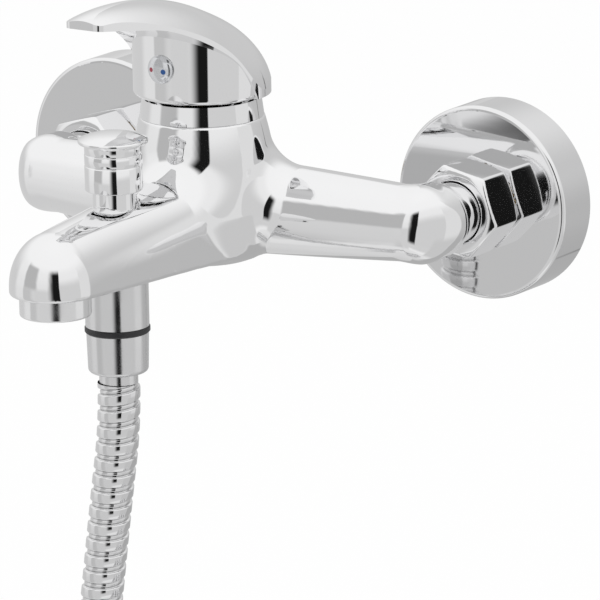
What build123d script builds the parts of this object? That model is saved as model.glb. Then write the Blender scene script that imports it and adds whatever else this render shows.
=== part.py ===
from build123d import *
from math import cos, pi, radians, sin, sqrt, tan
import os

# Exposed bath and shower mixer with a single lever, for a wall with two inlets. The X axis runs
# along the wall, Y points into the wall and Z points up. The origin lies on the wall, midway
# between the two roses. All sizes are in millimetres

os.makedirs("parts", exist_ok=True)

# Wall connections
inlet_spacing = 150.0
sides = (("hot", -1), ("cold", 1))
wall_thread_r = 10.48
wall_thread_length = 14.0
union_thread_r = 13.2
water_bore_r = 5.5
eccentric = 8.0
union_end_y = -23.0
web_thickness = 6.0
rose_gap_behind_web = 2.0
rose_r = 32.5
rose_height = 16.5
rose_sheet = 1.5
rose_rim_fillet = 1.6
rose_hole_clearance = 0.2

# Union nut, its washer and the inlet nipple that it draws against the wall connection
nut_across_flats = 28.4
nut_face_r = 14.0
nut_length = 16.2
nut_front_chamfer = 2.0
nut_rear_chamfer = 1.2
nut_face_wall = 4.5
nut_gap = 0.3
nut_turns = {"hot": 16, "cold": 48}
washer_thickness = 2.0
nipple_r = 10.3
nipple_clearance = 0.55
nipple_collar_r = 11.4
nipple_collar_thickness = 1.3
nipple_flange_r = 12.6
nipple_flange_thickness = 3.0
nipple_screw_r = 9.0
nipple_screw_length = 9.0

# Mixer body: tower, arms and spout
tower_y = -68.0
tower_top_r = 20.6
tower_waist_r = 23.9
tower_foot_r = 21.0
tower_top_z = 31.8
tower_bottom_z = -16.0
arm_root_r = 15.9
arm_root_y = -57.4
arm_flare_r = 18.2
elbow_r = 12.8
elbow_y = -51.7
elbow_rear_y = -41.3
elbow_rear_fillet = 3.0
aerator_to_diverter = 33.5
spout_end_r = 14.8
spout_end_top = 9.4
spout_bottom_z = -11.0
spout_spring_z = -3.5
channel_r = 5.0
channel_z = 1.0

# Cartridge for a 35 mm bore
cartridge_r = 17.4
cartridge_bore_clearance = 0.2
cartridge_floor_z = 6.0
cartridge_base_height = 4.0
cartridge_shoulder_z = 27.0
cartridge_wall = 1.6
cartridge_neck_r = 12.5
cartridge_neck_top_z = 37.5
port_radius = 3.5
port_x = 7.5
port_y_offset = 4.0
outlet_port_offset = -9.0
seal_thickness = 1.2
seal_width = 1.2
fixed_disc_r = 15.0
fixed_disc_thickness = 3.5
moving_disc_r = 11.5
moving_disc_thickness = 3.0
disc_gap = 0.05
carrier_thickness = 6.4
retaining_nut_r = 18.2
retaining_nut_top_z = 36.0
retaining_nut_bore_r = 12.9
dome_ring_top_r = 19.7
dome_ring_top_z = 38.7
dome_ring_wall = 1.6
thread_clearance = 0.05

# Rotor, spindle and pivot pin
rotor_r = 10.0
rotor_clearance = 0.2
rotor_flange_r = 14.0
rotor_flange_thickness = 1.8
pivot_z = 31.0
pivot_pin_r = 1.5
spindle_width = 8.0
spindle_top_z = 58.0
spindle_ball_r = 3.0
spindle_ball_drop = 9.0
lift_angle = 25.0
carrier_slot_clearance = 0.4

# Lever
hub_r = 22.5
hub_wall = 1.9
hub_bottom_z = 39.3
hub_bottom_fillet = 1.6
hub_cavity_z = 47.0
blade_rim = 0.5
crown_height = 37.8
blade_tip_y = -133.5
blade_tip_half_width = 7.4
blade_tip_corner = 3.0
socket_boss_r = 8.0
socket_clearance = 0.1
index_z = 51.0
grub_screw_r = 2.5
grub_screw_length = 10.0
index_plug_r = 3.9
index_plug_length = 3.6
index_plug_stand = 0.8

# Diverter
diverter_y = -118.0
knob_r = 9.27
knob_cap_r = 10.83
knob_bottom_z = 16.6
knob_cap_z = 31.7
knob_top_z = 34.8
knob_wall = 1.6
knob_cap_fillet = 1.2
knob_grooves_z = (25.0, 28.8)
knob_groove_depth = 0.4
knob_groove_width = 0.5
bonnet_r = 7.0
bonnet_bottom_z = 5.5
bonnet_top_z = 21.0
bonnet_top_wall = 2.0
bonnet_bore_r = 4.9
chamber_r = 7.6
rod_r = 2.5
rod_clearance = 0.1
rod_collar_r = 4.5
rod_collar_z = 3.0
rod_collar_thickness = 1.0
valve_r = 6.6
valve_thickness = 3.0
valve_seat_z = -6.0
spring_r = 3.9
spring_wire_r = 0.4
spring_turns = 5

# Aerator
aerator_r = 11.65
aerator_visible = 7.0
aerator_screw_r = 10.6
aerator_screw_length = 7.5
aerator_bore_r = 9.6
aerator_fillet = 0.8
aerator_washer_thickness = 1.5
aerator_insert_length = 9.0

# Shower outlet, hose nut and seals
outlet_r = 10.45
outlet_top_z = -12.2
outlet_bottom_z = -28.6
outlet_screw_r = 8.5
outlet_screw_length = 5.0
outlet_thread_r = 8.33
outlet_thread_length = 9.4
outlet_bore_r = 5.0
ring_washer_r = 10.73
ring_washer_thickness = 2.3
hose_nut_top_r = 10.22
hose_nut_bottom_r = 9.84
hose_nut_length = 13.3
hose_nut_fillet = 1.5
hose_seal_thickness = 2.0
ferrule_r = 6.36
ferrule_flange_r = 7.9
ferrule_flange_thickness = 2.0
ferrule_visible = 3.6
ferrule_clearance = 0.15

# Hose, 1.5 m long: a free ribbed stretch, then the rest put away in a coil held by a tie
hose_r = 7.0
hose_groove_depth = 0.9
hose_bore_r = 4.2
rib_pitch = 5.5
rib_band = 3.4
rib_margin = 1.5
coil_r = 70.0
coil_turns = 3
coil_pitch = 15.2
coil_drop = 174.5
coil_drift_x = -22.0
coil_end_straight = 40.0
tie_thickness = 1.6
tie_width = 10.0
tie_gap = 0.5
handset_nut_r = 12.0
handset_nut_neck_r = 8.6
handset_nut_length = 20.0
handset_nut_floor = 4.0
handset_thread_r = 10.48

inlet_x = inlet_spacing / 2
aerator_y = diverter_y - aerator_to_diverter
tower_axis = Axis((0, tower_y, 0), (0, 0, 1))
diverter_axis = Axis((0, diverter_y, 0), (0, 0, 1))
aerator_axis = Axis((0, aerator_y, 0), (0, 0, 1))


def upright(y, x=0.0):
    """Plane that faces the user, with X across and Z up, at the given place."""
    return Plane(origin=(x, y, 0), x_dir=(1, 0, 0), z_dir=(0, -1, 0))


def across(x, y=0.0, z=0.0, side=1):
    """Plane square to the X axis that faces outward on the given side."""
    return Plane(origin=(x, y, z), x_dir=(0, 1, 0), z_dir=(side, 0, 0))


def profile(axis, *points):
    """Closed profile of straight lines beside an upright axis, as (radius, Z) points."""
    with BuildSketch(upright(axis.position.Y, axis.position.X)) as outline:
        with BuildLine():
            Polyline(*points, close=True)
        make_face()
    return outline.sketch


def save(part, name):
    """Label a finished piece and write it to its own file."""
    part.label = name
    export_step(part, f"parts/{name}.step")


# Wall connections: each has a wall thread, a flat web and a union thread set off to one side
web_rear_y = -rose_gap_behind_web
web_front_y = web_rear_y - web_thickness
for name, side in sides:
    x = side * inlet_x
    with BuildPart() as s_union:
        with BuildSketch(Plane.XZ.offset(-wall_thread_length)):
            with Locations((x, -eccentric)):
                Circle(wall_thread_r)
        extrude(amount=wall_thread_length - web_rear_y)
        with BuildSketch(Plane.XZ.offset(-web_rear_y)):
            with Locations((x, -eccentric), (x, 0)):
                Circle(union_thread_r)
            make_hull()
        extrude(amount=web_thickness)
        with BuildSketch(Plane.XZ.offset(-web_front_y)):
            with Locations((x, 0)):
                Circle(union_thread_r)
        extrude(amount=web_front_y - union_end_y)
        with BuildSketch(Plane.XZ.offset(-wall_thread_length)):
            with Locations((x, -eccentric)):
                Circle(water_bore_r)
        extrude(amount=wall_thread_length - web_rear_y + web_thickness * 0.7, mode=Mode.SUBTRACT)
        with BuildSketch(Plane.XZ.offset(-union_end_y)):
            with Locations((x, 0)):
                Circle(water_bore_r)
        extrude(amount=union_end_y - web_front_y - web_thickness * 0.7, mode=Mode.SUBTRACT)
    save(s_union.part, f"{name}_wall_union")

    # Rose: a deep pressed cup with a flat face and a rounded rim, open at the wall
    with BuildPart() as rose:
        with BuildSketch(Plane.XZ):
            with Locations((x, 0)):
                Circle(rose_r)
        extrude(amount=rose_height)
        fillet(rose.faces().sort_by(Axis.Y)[0].edges(), rose_rim_fillet)
        offset(amount=-rose_sheet, openings=rose.faces().sort_by(Axis.Y)[-1])
        with BuildSketch(Plane.XZ.offset(rose_height)):
            with Locations((x, 0)):
                Circle(union_thread_r + rose_hole_clearance)
        extrude(amount=-2 * rose_sheet, mode=Mode.SUBTRACT)
    save(rose.part, f"{name}_rose")

    # Inlet nipple: screws into the arm's elbow and holds the union nut by its flange
    flange_rear_y = union_end_y - washer_thickness
    flange_front_y = flange_rear_y - nipple_flange_thickness
    with BuildPart() as nipple:
        with BuildSketch(Plane.XZ.offset(-flange_rear_y)):
            with Locations((x, 0)):
                Circle(nipple_flange_r)
        extrude(amount=nipple_flange_thickness)
        with BuildSketch(Plane.XZ.offset(-flange_front_y)):
            with Locations((x, 0)):
                Circle(nipple_r)
        extrude(amount=flange_front_y - elbow_rear_y)
        with BuildSketch(Plane.XZ.offset(-elbow_rear_y)):
            with Locations((x, 0)):
                Circle(nipple_collar_r)
        extrude(amount=-nipple_collar_thickness)
        with BuildSketch(Plane.XZ.offset(-elbow_rear_y)):
            with Locations((x, 0)):
                Circle(nipple_screw_r - thread_clearance)
        extrude(amount=nipple_screw_length)
        with BuildSketch(Plane.XZ.offset(-elbow_rear_y + nipple_screw_length)):
            with Locations((x, 0)):
                Circle(water_bore_r)
        extrude(amount=-60, mode=Mode.SUBTRACT)
    save(nipple.part, f"{name}_inlet_nipple")

    # Flat sealing washer between the wall connection and the nipple's flange
    with BuildPart() as washer:
        with BuildSketch(Plane.XZ.offset(-union_end_y)):
            with Locations((x, 0)):
                Circle(nipple_flange_r - 0.4)
                Circle(water_bore_r + 0.5, mode=Mode.SUBTRACT)
        extrude(amount=washer_thickness)
    save(washer.part, f"{name}_union_washer")

    # Union nut: a hexagon with both ends turned to a round face by a chamfer
    nut_rear_y = -rose_height - nut_gap
    nut_front_y = nut_rear_y - nut_length
    with BuildPart() as nut:
        with BuildSketch(Plane.XZ.offset(-nut_rear_y)):
            with Locations((x, 0)):
                RegularPolygon(nut_across_flats / 2, 6, major_radius=False, rotation=nut_turns[name])
        extrude(amount=nut_length)
        corner_r = nut_across_flats / sqrt(3)
        with BuildSketch(Plane(origin=(x, 0, 0), x_dir=(1, 0, 0), z_dir=(0, 0, 1))):
            with BuildLine():
                Polyline(
                    (0, nut_front_y),
                    (nut_face_r, nut_front_y),
                    (corner_r, nut_front_y + nut_front_chamfer),
                    (corner_r, nut_rear_y - nut_rear_chamfer),
                    (nut_face_r, nut_rear_y),
                    (0, nut_rear_y),
                    close=True,
                )
            make_face()
        revolve(axis=Axis((x, 0, 0), (0, 1, 0)), mode=Mode.INTERSECT)
        with BuildSketch(Plane.XZ.offset(-nut_front_y)):
            with Locations((x, 0)):
                Circle(nipple_r + nipple_clearance)
        extrude(amount=-nut_length, mode=Mode.SUBTRACT)
        with BuildSketch(Plane.XZ.offset(-nut_front_y - nut_face_wall)):
            with Locations((x, 0)):
                Circle(union_thread_r + thread_clearance)
        extrude(amount=-nut_length, mode=Mode.SUBTRACT)
    save(nut.part, f"{name}_union_nut")

# Mixer body, cast in one piece
spout_sections = (
    (tower_y - 4.0, 19.0, -14.0, 2.0, 20.0),
    (tower_y - 22.0, 18.0, -13.0, 0.0, 16.0),
    (diverter_y, 16.2, -12.2, -2.0, 12.6),
    (aerator_y, spout_end_r, spout_bottom_z, spout_spring_z, spout_end_top),
)
with BuildPart() as spout:
    for y, half_width, bottom, spring, top in spout_sections:
        with BuildSketch(upright(y)):
            with BuildLine():
                arch = EllipticalCenterArc((0, spring), half_width, top - spring, 0, arc_size=180)
                Polyline(arch @ 1, (-half_width, bottom), (half_width, bottom), arch @ 0)
            make_face()
    loft()
    with BuildSketch(upright(aerator_y)):
        with BuildLine():
            arch = EllipticalCenterArc(
                (0, spout_spring_z), spout_end_r, spout_end_top - spout_spring_z, 0, arc_size=90
            )
            Polyline(arch @ 1, (0, spout_bottom_z), (spout_end_r, spout_bottom_z), arch @ 0)
        make_face()
    revolve(axis=aerator_axis, revolution_arc=-180)

# Each arm tapers evenly to its elbow and flares where it grows out of the tower. The round sections
# of the flare are given by place, centre (Y, Z) and radius
flare_end_x = tower_waist_r + 14.0
flare_share = flare_end_x / inlet_x
flare_end_y = arm_root_y + (elbow_y - arm_root_y) * flare_share
flare_end_r = arm_root_r + (elbow_r - arm_root_r) * flare_share
flare_lift = arm_flare_r + tower_bottom_z
flare_sections = (
    (tower_foot_r * 0.67, arm_root_y - 2.6, flare_lift, arm_flare_r),
    (tower_foot_r * 0.93, arm_root_y - 1.6, flare_lift * 0.5, arm_flare_r - 1.3),
    (tower_waist_r + 2.1, arm_root_y + 1.1, flare_lift * 0.1, arm_root_r - 0.8),
    (flare_end_x, flare_end_y, 0.0, flare_end_r),
)
arm_rear_y = elbow_rear_y - elbow_rear_fillet + 0.7
with BuildPart() as body:
    for name, side in sides:
        for x, y, z, radius in flare_sections:
            with BuildSketch(across(side * x, y, z, side)):
                Circle(radius)
        loft()
        with BuildSketch(across(side * flare_end_x, flare_end_y, 0, side)):
            Circle(flare_end_r)
        with BuildSketch(across(side * inlet_x, elbow_y, 0, side)):
            Circle(elbow_r)
        loft()
    split(bisect_by=Plane.XZ.offset(-arm_rear_y), keep=Keep.TOP)
    with BuildSketch(upright(tower_y)):
        with BuildLine():
            flank = Spline(
                (tower_foot_r, tower_bottom_z + 5.0),
                (tower_waist_r, 8.0),
                (tower_waist_r - 0.6, 19.0),
                (tower_top_r, tower_top_z),
            )
            Polyline(flank @ 1, (0, tower_top_z), (0, tower_bottom_z), (tower_foot_r - 6.0, tower_bottom_z))
            ThreePointArc(
                (tower_foot_r - 6.0, tower_bottom_z),
                (tower_foot_r - 1.9, tower_bottom_z + 1.6),
                flank @ 0,
            )
        make_face()
    revolve(axis=tower_axis)
    elbow_rear = elbow_rear_y - elbow_y
    rim_start = elbow_rear - elbow_rear_fillet
    rim_r = elbow_r - elbow_rear_fillet
    for name, side in sides:
        with BuildSketch(Plane.XY.shift_origin((side * inlet_x, elbow_y))):
            with BuildLine():
                Polyline((0, -elbow_r), (0, elbow_rear), (rim_r, elbow_rear))
                RadiusArc((rim_r, elbow_rear), (elbow_r, rim_start), elbow_rear_fillet)
                Line((elbow_r, rim_start), (elbow_r, 0))
                RadiusArc((elbow_r, 0), (0, -elbow_r), elbow_r)
            make_face()
        revolve(axis=Axis((side * inlet_x, elbow_y, 0), (0, 1, 0)))
    add(spout.part)
    # Bore for the cartridge, with a wider thread above it for the retaining nut
    with BuildSketch(Plane.XY.offset(cartridge_floor_z)):
        with Locations((0, tower_y)):
            Circle(cartridge_r + cartridge_bore_clearance)
    extrude(amount=60, mode=Mode.SUBTRACT)
    with BuildSketch(Plane.XY.offset(cartridge_shoulder_z - 0.1)):
        with Locations((0, tower_y)):
            Circle(retaining_nut_r + thread_clearance)
    extrude(amount=60, mode=Mode.SUBTRACT)
    # Water ways: hot and cold come in along the arms, mixed water leaves along the spout
    port_y = tower_y + port_y_offset
    for name, side in sides:
        start = Vector(side * inlet_x, elbow_y, 0)
        end = Vector(side * port_x, port_y, 0)
        with BuildSketch(Plane(origin=start, z_dir=end - start)):
            Circle(water_bore_r)
        extrude(amount=(end - start).length, mode=Mode.SUBTRACT)
        with BuildSketch(Plane.XY.offset(-2.0)):
            with Locations((side * port_x, port_y)):
                Circle(port_radius)
        extrude(amount=cartridge_floor_z + 3.0, mode=Mode.SUBTRACT)
        with BuildSketch(Plane.XZ.offset(-elbow_rear_y)):
            with Locations((side * inlet_x, 0)):
                Circle(nipple_screw_r)
        extrude(amount=nipple_screw_length + 1.0, mode=Mode.SUBTRACT)
    outlet_port_y = tower_y + outlet_port_offset
    with BuildSketch(Plane.XY.offset(channel_z)):
        with Locations((0, outlet_port_y)):
            Circle(port_radius)
    extrude(amount=cartridge_floor_z, mode=Mode.SUBTRACT)
    channel_start_y = outlet_port_y + port_radius + 1.0
    with BuildSketch(Plane.XZ.offset(-channel_start_y)):
        with Locations((0, channel_z)):
            Circle(channel_r)
    extrude(amount=channel_start_y - aerator_y + channel_r, mode=Mode.SUBTRACT)
    # Diverter chamber with the bonnet's thread above it and the shower way below it
    with BuildSketch(Plane.XY.offset(valve_seat_z)):
        with Locations((0, diverter_y)):
            Circle(chamber_r)
    extrude(amount=bonnet_bottom_z - valve_seat_z, mode=Mode.SUBTRACT)
    with BuildSketch(Plane.XY.offset(bonnet_bottom_z)):
        with Locations((0, diverter_y)):
            Circle(bonnet_r + thread_clearance)
    extrude(amount=20, mode=Mode.SUBTRACT)
    with BuildSketch(Plane.XY.offset(valve_seat_z)):
        with Locations((0, diverter_y)):
            Circle(outlet_bore_r)
    extrude(amount=-20, mode=Mode.SUBTRACT)
    with BuildSketch(Plane.XY.offset(outlet_top_z)):
        with Locations((0, diverter_y)):
            Circle(outlet_r)
    extrude(amount=-5, mode=Mode.SUBTRACT)
    with BuildSketch(Plane.XY.offset(outlet_top_z)):
        with Locations((0, diverter_y)):
            Circle(outlet_screw_r + thread_clearance)
    extrude(amount=outlet_screw_length, mode=Mode.SUBTRACT)
    # Seat for the aerator in the spout's mouth, with a flat round it
    aerator_seat_z = spout_bottom_z + aerator_screw_length
    with BuildSketch(Plane.XY.offset(spout_bottom_z)):
        with Locations((0, aerator_y)):
            Circle(aerator_r + thread_clearance)
    extrude(amount=-5, mode=Mode.SUBTRACT)
    with BuildSketch(Plane.XY.offset(spout_bottom_z)):
        with Locations((0, aerator_y)):
            Circle(aerator_screw_r + thread_clearance)
    extrude(amount=aerator_screw_length + aerator_washer_thickness, mode=Mode.SUBTRACT)
save(body.part, "mixer_body")

# Cartridge base: carries the fixed disc and has a pocket for a seal round each port
base_top_z = cartridge_floor_z + cartridge_base_height
ports = ((-port_x, port_y), (port_x, port_y), (0, outlet_port_y))
seal_r = port_radius + seal_width
with BuildPart() as cartridge_base:
    with BuildSketch(Plane.XY.offset(cartridge_floor_z)):
        with Locations((0, tower_y)):
            Circle(cartridge_r)
    extrude(amount=cartridge_base_height)
    with BuildSketch(Plane.XY.offset(cartridge_floor_z)):
        with Locations(*ports):
            Circle(port_radius)
    extrude(amount=cartridge_base_height, mode=Mode.SUBTRACT)
    with BuildSketch(Plane.XY.offset(cartridge_floor_z)):
        with Locations(*ports):
            Circle(seal_r)
    extrude(amount=seal_thickness, mode=Mode.SUBTRACT)
save(cartridge_base.part, "cartridge_base")

with BuildPart() as port_seals:
    with BuildSketch(Plane.XY.offset(cartridge_floor_z)):
        with Locations(*ports):
            Circle(seal_r)
            Circle(port_radius, mode=Mode.SUBTRACT)
    extrude(amount=seal_thickness)
save(port_seals.part, "port_seals")

fixed_disc_top_z = base_top_z + fixed_disc_thickness
with BuildPart() as fixed_disc:
    with BuildSketch(Plane.XY.offset(base_top_z)):
        with Locations((0, tower_y)):
            Circle(fixed_disc_r)
        with Locations(*ports):
            Circle(port_radius, mode=Mode.SUBTRACT)
    extrude(amount=fixed_disc_thickness)
save(fixed_disc.part, "fixed_ceramic_disc")

# Moving disc: a mixing hollow on its underside joins the inlets to the outlet
moving_disc_z = fixed_disc_top_z + disc_gap
with BuildPart() as moving_disc:
    with BuildSketch(Plane.XY.offset(moving_disc_z)):
        with Locations((0, tower_y)):
            Circle(moving_disc_r)
    extrude(amount=moving_disc_thickness)
    with BuildSketch(Plane.XY.offset(moving_disc_z)):
        with Locations((0, tower_y - 3.0)):
            Ellipse(7.5, 5.0)
    extrude(amount=moving_disc_thickness / 2, mode=Mode.SUBTRACT)
save(moving_disc.part, "moving_ceramic_disc")

# Disc carrier: a slotted block, with flats that slide between the rotor's two legs
carrier_z = moving_disc_z + moving_disc_thickness
carrier_flat_x = moving_disc_r - 0.4
ball_z = pivot_z - spindle_ball_drop
with BuildPart() as disc_carrier:
    with BuildSketch(Plane.XY.offset(carrier_z)):
        with Locations((0, tower_y)):
            Circle(moving_disc_r)
            Rectangle(2 * carrier_flat_x, 4 * moving_disc_r, mode=Mode.INTERSECT)
            Circle(spindle_ball_r + carrier_slot_clearance, mode=Mode.SUBTRACT)
    extrude(amount=carrier_thickness)
save(disc_carrier.part, "disc_carrier")

# Rotor: a slotted sleeve with a flange and two legs that turn the carrier with it
carrier_top_z = carrier_z + carrier_thickness
flange_z = carrier_top_z + 0.4
leg_x = carrier_flat_x + 0.1
leg_depth = 1.8
slot_reach = spindle_ball_drop * sin(radians(lift_angle)) + spindle_ball_r + carrier_slot_clearance
with BuildPart() as rotor:
    with BuildSketch(Plane.XY.offset(flange_z)):
        with Locations((0, tower_y)):
            Circle(rotor_flange_r)
    extrude(amount=rotor_flange_thickness)
    with BuildSketch(Plane.XY.offset(flange_z)):
        with Locations((0, tower_y)):
            Circle(rotor_r)
    extrude(amount=cartridge_neck_top_z - flange_z - 0.5)
    with BuildSketch(Plane.XY.offset(flange_z)):
        with Locations((leg_x + leg_depth / 2, tower_y), (-leg_x - leg_depth / 2, tower_y)):
            Rectangle(leg_depth, 10.0)
    extrude(amount=carrier_z + 0.5 - flange_z)
    with BuildSketch(Plane.XY.offset(flange_z)):
        with Locations((0, tower_y)):
            Rectangle(spindle_width + 2 * socket_clearance, 2 * slot_reach)
    extrude(amount=40, mode=Mode.SUBTRACT)
    with BuildSketch(across(-rotor_r - 5.0, tower_y, pivot_z)):
        Circle(pivot_pin_r)
    extrude(amount=2 * rotor_r + 10.0, mode=Mode.SUBTRACT)
save(rotor.part, "rotor")

with BuildPart() as pivot_pin:
    with BuildSketch(across(-rotor_r + 0.4, tower_y, pivot_z)):
        Circle(pivot_pin_r)
    extrude(amount=2 * rotor_r - 0.8)
save(pivot_pin.part, "pivot_pin")

# Spindle: a square stem for the lever, turned down to a ball that pushes the carrier
with BuildPart() as spindle:
    with BuildSketch(Plane.XY.offset(pivot_z - 3.2)):
        with Locations((0, tower_y)):
            Rectangle(spindle_width, spindle_width)
    extrude(amount=spindle_top_z - pivot_z + 3.2)
    with BuildSketch(Plane.XY.offset(ball_z)):
        with Locations((0, tower_y)):
            Circle(spindle_ball_r - 0.8)
    extrude(amount=pivot_z - 3.2 - ball_z)
    with Locations((0, tower_y, ball_z)):
        Sphere(spindle_ball_r)
    with BuildSketch(across(-spindle_width, tower_y, pivot_z)):
        Circle(pivot_pin_r + rod_clearance)
    extrude(amount=2 * spindle_width, mode=Mode.SUBTRACT)
save(spindle.part, "lever_spindle")

# Cartridge housing: a cup over the discs with a shoulder and a neck round the rotor
with BuildPart() as housing:
    revolve(
        profile(
            tower_axis,
            (cartridge_r, base_top_z),
            (cartridge_r, cartridge_shoulder_z),
            (cartridge_neck_r, cartridge_shoulder_z),
            (cartridge_neck_r, cartridge_neck_top_z),
            (rotor_r + rotor_clearance, cartridge_neck_top_z),
            (rotor_r + rotor_clearance, cartridge_shoulder_z - cartridge_wall),
            (cartridge_r - cartridge_wall, cartridge_shoulder_z - cartridge_wall),
            (cartridge_r - cartridge_wall, base_top_z),
        ),
        axis=tower_axis,
    )
save(housing.part, "cartridge_housing")

# Retaining nut: its thread fills the top of the bore and its crown carries the dome ring
with BuildPart() as retaining_nut:
    revolve(
        profile(
            tower_axis,
            (retaining_nut_bore_r, cartridge_shoulder_z),
            (retaining_nut_r, cartridge_shoulder_z),
            (retaining_nut_r, retaining_nut_top_z),
            (retaining_nut_bore_r + 2.0, retaining_nut_top_z),
            (retaining_nut_bore_r, retaining_nut_top_z - 2.0),
        ),
        axis=tower_axis,
    )
    with BuildSketch(Plane.XY.offset(retaining_nut_top_z)):
        with Locations((0, tower_y)):
            with PolarLocations(retaining_nut_r, 6):
                Rectangle(4.0, 4.0)
    extrude(amount=-3.0, mode=Mode.SUBTRACT)
save(retaining_nut.part, "cartridge_nut")

# Dome ring: a tapered trim ring that screws over the crown of the retaining nut
with BuildPart() as dome_ring:
    revolve(
        profile(
            tower_axis,
            (retaining_nut_r + rose_hole_clearance, tower_top_z),
            (tower_top_r - 0.1, tower_top_z),
            (dome_ring_top_r, dome_ring_top_z - 0.6),
            (dome_ring_top_r - 0.6, dome_ring_top_z),
            (cartridge_neck_r + 0.8, dome_ring_top_z),
            (cartridge_neck_r + 0.8, dome_ring_top_z - dome_ring_wall),
            (retaining_nut_r + rose_hole_clearance, dome_ring_top_z - dome_ring_wall),
        ),
        axis=tower_axis,
    )
save(dome_ring.part, "dome_ring")

# Lever: its crown is a loft of half ellipses. Each is given by its place, as a share of the blade's
# reach in front of the tower's axis (of the hub's radius behind it), and by its half width and
# height, as shares of the hub's radius and of the crown's height
blade_reach = tower_y - blade_tip_y
crown_in_front = (
    (1.053, 1.089, 0.913),
    (0.916, 1.058, 0.979),
    (0.702, 1.040, 1.000),
    (0.489, 1.084, 0.971),
    (0.305, 1.111, 0.910),
    (0.137, 1.084, 0.817),
)
crown_behind = (
    (0.044, 1.031, 0.704),
    (0.489, 0.916, 0.545),
    (0.778, 0.689, 0.370),
    (0.942, 0.422, 0.212),
    (1.013, 0.156, 0.079),
)
crown_sections = [(tower_y - blade_reach * place, width, height) for place, width, height in crown_in_front]
crown_sections += [(tower_y + hub_r * place, width, height) for place, width, height in crown_behind]
blade_underside = (
    (1.099, 0.886),
    (0.983, 0.865),
    (0.742, 0.810),
    (0.620, 0.778),
    (0.496, 0.714),
    (0.373, 0.619),
    (0.249, 0.500),
    (0.125, 0.333),
    (0.046, 0.135),
    (0.005, 0.0),
)
with BuildPart() as crown:
    for y, width, height in crown_sections:
        with BuildSketch(upright(y)):
            with BuildLine():
                arch = EllipticalCenterArc(
                    (0, hub_bottom_z), hub_r * width, crown_height * height, 0, arc_size=180
                )
                Line(arch @ 1, arch @ 0)
            make_face()
    loft()

with BuildPart() as lever:
    with BuildSketch(Plane.XY.offset(hub_bottom_z)):
        with Locations((0, tower_y)):
            Circle(hub_r + blade_rim)
        corner_x = blade_tip_half_width - blade_tip_corner
        corner_y = blade_tip_y + blade_tip_corner
        with Locations((corner_x, corner_y), (-corner_x, corner_y)):
            Circle(blade_tip_corner)
        make_hull()
    extrude(amount=60)
    add(crown.part, mode=Mode.INTERSECT)
    with BuildSketch(Plane.YZ):
        with BuildLine():
            edge = Spline(
                *[
                    (tower_y - blade_reach * place, hub_bottom_z + crown_height * rise)
                    for place, rise in blade_underside
                ]
            )
            below_z = hub_bottom_z - hub_r / 2
            Polyline(edge @ 1, ((edge @ 1).X, below_z), ((edge @ 0).X, below_z), edge @ 0)
        make_face()
    extrude(amount=hub_r * 2, both=True, mode=Mode.SUBTRACT)

with BuildPart() as lever_handle:
    with BuildSketch(Plane.XY.offset(hub_bottom_z)):
        with Locations((0, tower_y)):
            Circle(hub_r)
    extrude(amount=30)
    fillet(lever_handle.edges().sort_by(Axis.Z)[0], hub_bottom_fillet)
    add(crown.part, mode=Mode.INTERSECT)
    add(lever.part)
    # Hollow under the hub, with a boss that takes the spindle
    with BuildSketch(Plane.XY.offset(hub_bottom_z)):
        with Locations((0, tower_y)):
            Circle(hub_r - hub_wall)
    extrude(amount=hub_cavity_z - hub_bottom_z, mode=Mode.SUBTRACT)
    with BuildSketch(Plane.XY.offset(hub_cavity_z)):
        with Locations((0, tower_y)):
            Rectangle(spindle_width + 2 * socket_clearance, spindle_width + 2 * socket_clearance)
    extrude(amount=spindle_top_z + socket_clearance - hub_cavity_z, mode=Mode.SUBTRACT)
    with BuildSketch(upright(tower_y)):
        with Locations((0, index_z)):
            Circle(grub_screw_r)
    extrude(amount=hub_r + 5.0, mode=Mode.SUBTRACT)
    with BuildSketch(upright(tower_y - hub_r + index_plug_length - index_plug_stand)):
        with Locations((0, index_z)):
            Circle(index_plug_r + socket_clearance)
    extrude(amount=index_plug_length + 4.0, mode=Mode.SUBTRACT)
save(lever_handle.part, "lever_handle")

grub_front_y = tower_y - spindle_width / 2
with BuildPart() as grub_screw:
    with BuildSketch(upright(grub_front_y)):
        with Locations((0, index_z)):
            Circle(grub_screw_r)
    extrude(amount=grub_screw_length)
    with BuildSketch(upright(grub_front_y - grub_screw_length)):
        with Locations((0, index_z)):
            RegularPolygon(1.4, 6)
    extrude(amount=-2.5, mode=Mode.SUBTRACT)
save(grub_screw.part, "grub_screw")

plug_rear_y = tower_y - hub_r + index_plug_length - index_plug_stand
with BuildPart() as index_plug:
    with BuildSketch(upright(plug_rear_y)):
        with Locations((0, index_z)):
            Circle(index_plug_r)
    extrude(amount=index_plug_length)
    fillet(index_plug.faces().sort_by(Axis.Y)[0].edges(), 0.7)
save(index_plug.part, "index_plug")

# Diverter bonnet: a threaded sleeve with a guide hole for the rod
with BuildPart() as bonnet:
    revolve(
        profile(
            diverter_axis,
            (bonnet_bore_r, bonnet_bottom_z),
            (bonnet_r, bonnet_bottom_z),
            (bonnet_r, bonnet_top_z),
            (rod_r + rod_clearance, bonnet_top_z),
            (rod_r + rod_clearance, bonnet_top_z - bonnet_top_wall),
            (bonnet_bore_r, bonnet_top_z - bonnet_top_wall),
        ),
        axis=diverter_axis,
    )
save(bonnet.part, "diverter_bonnet")

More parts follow.
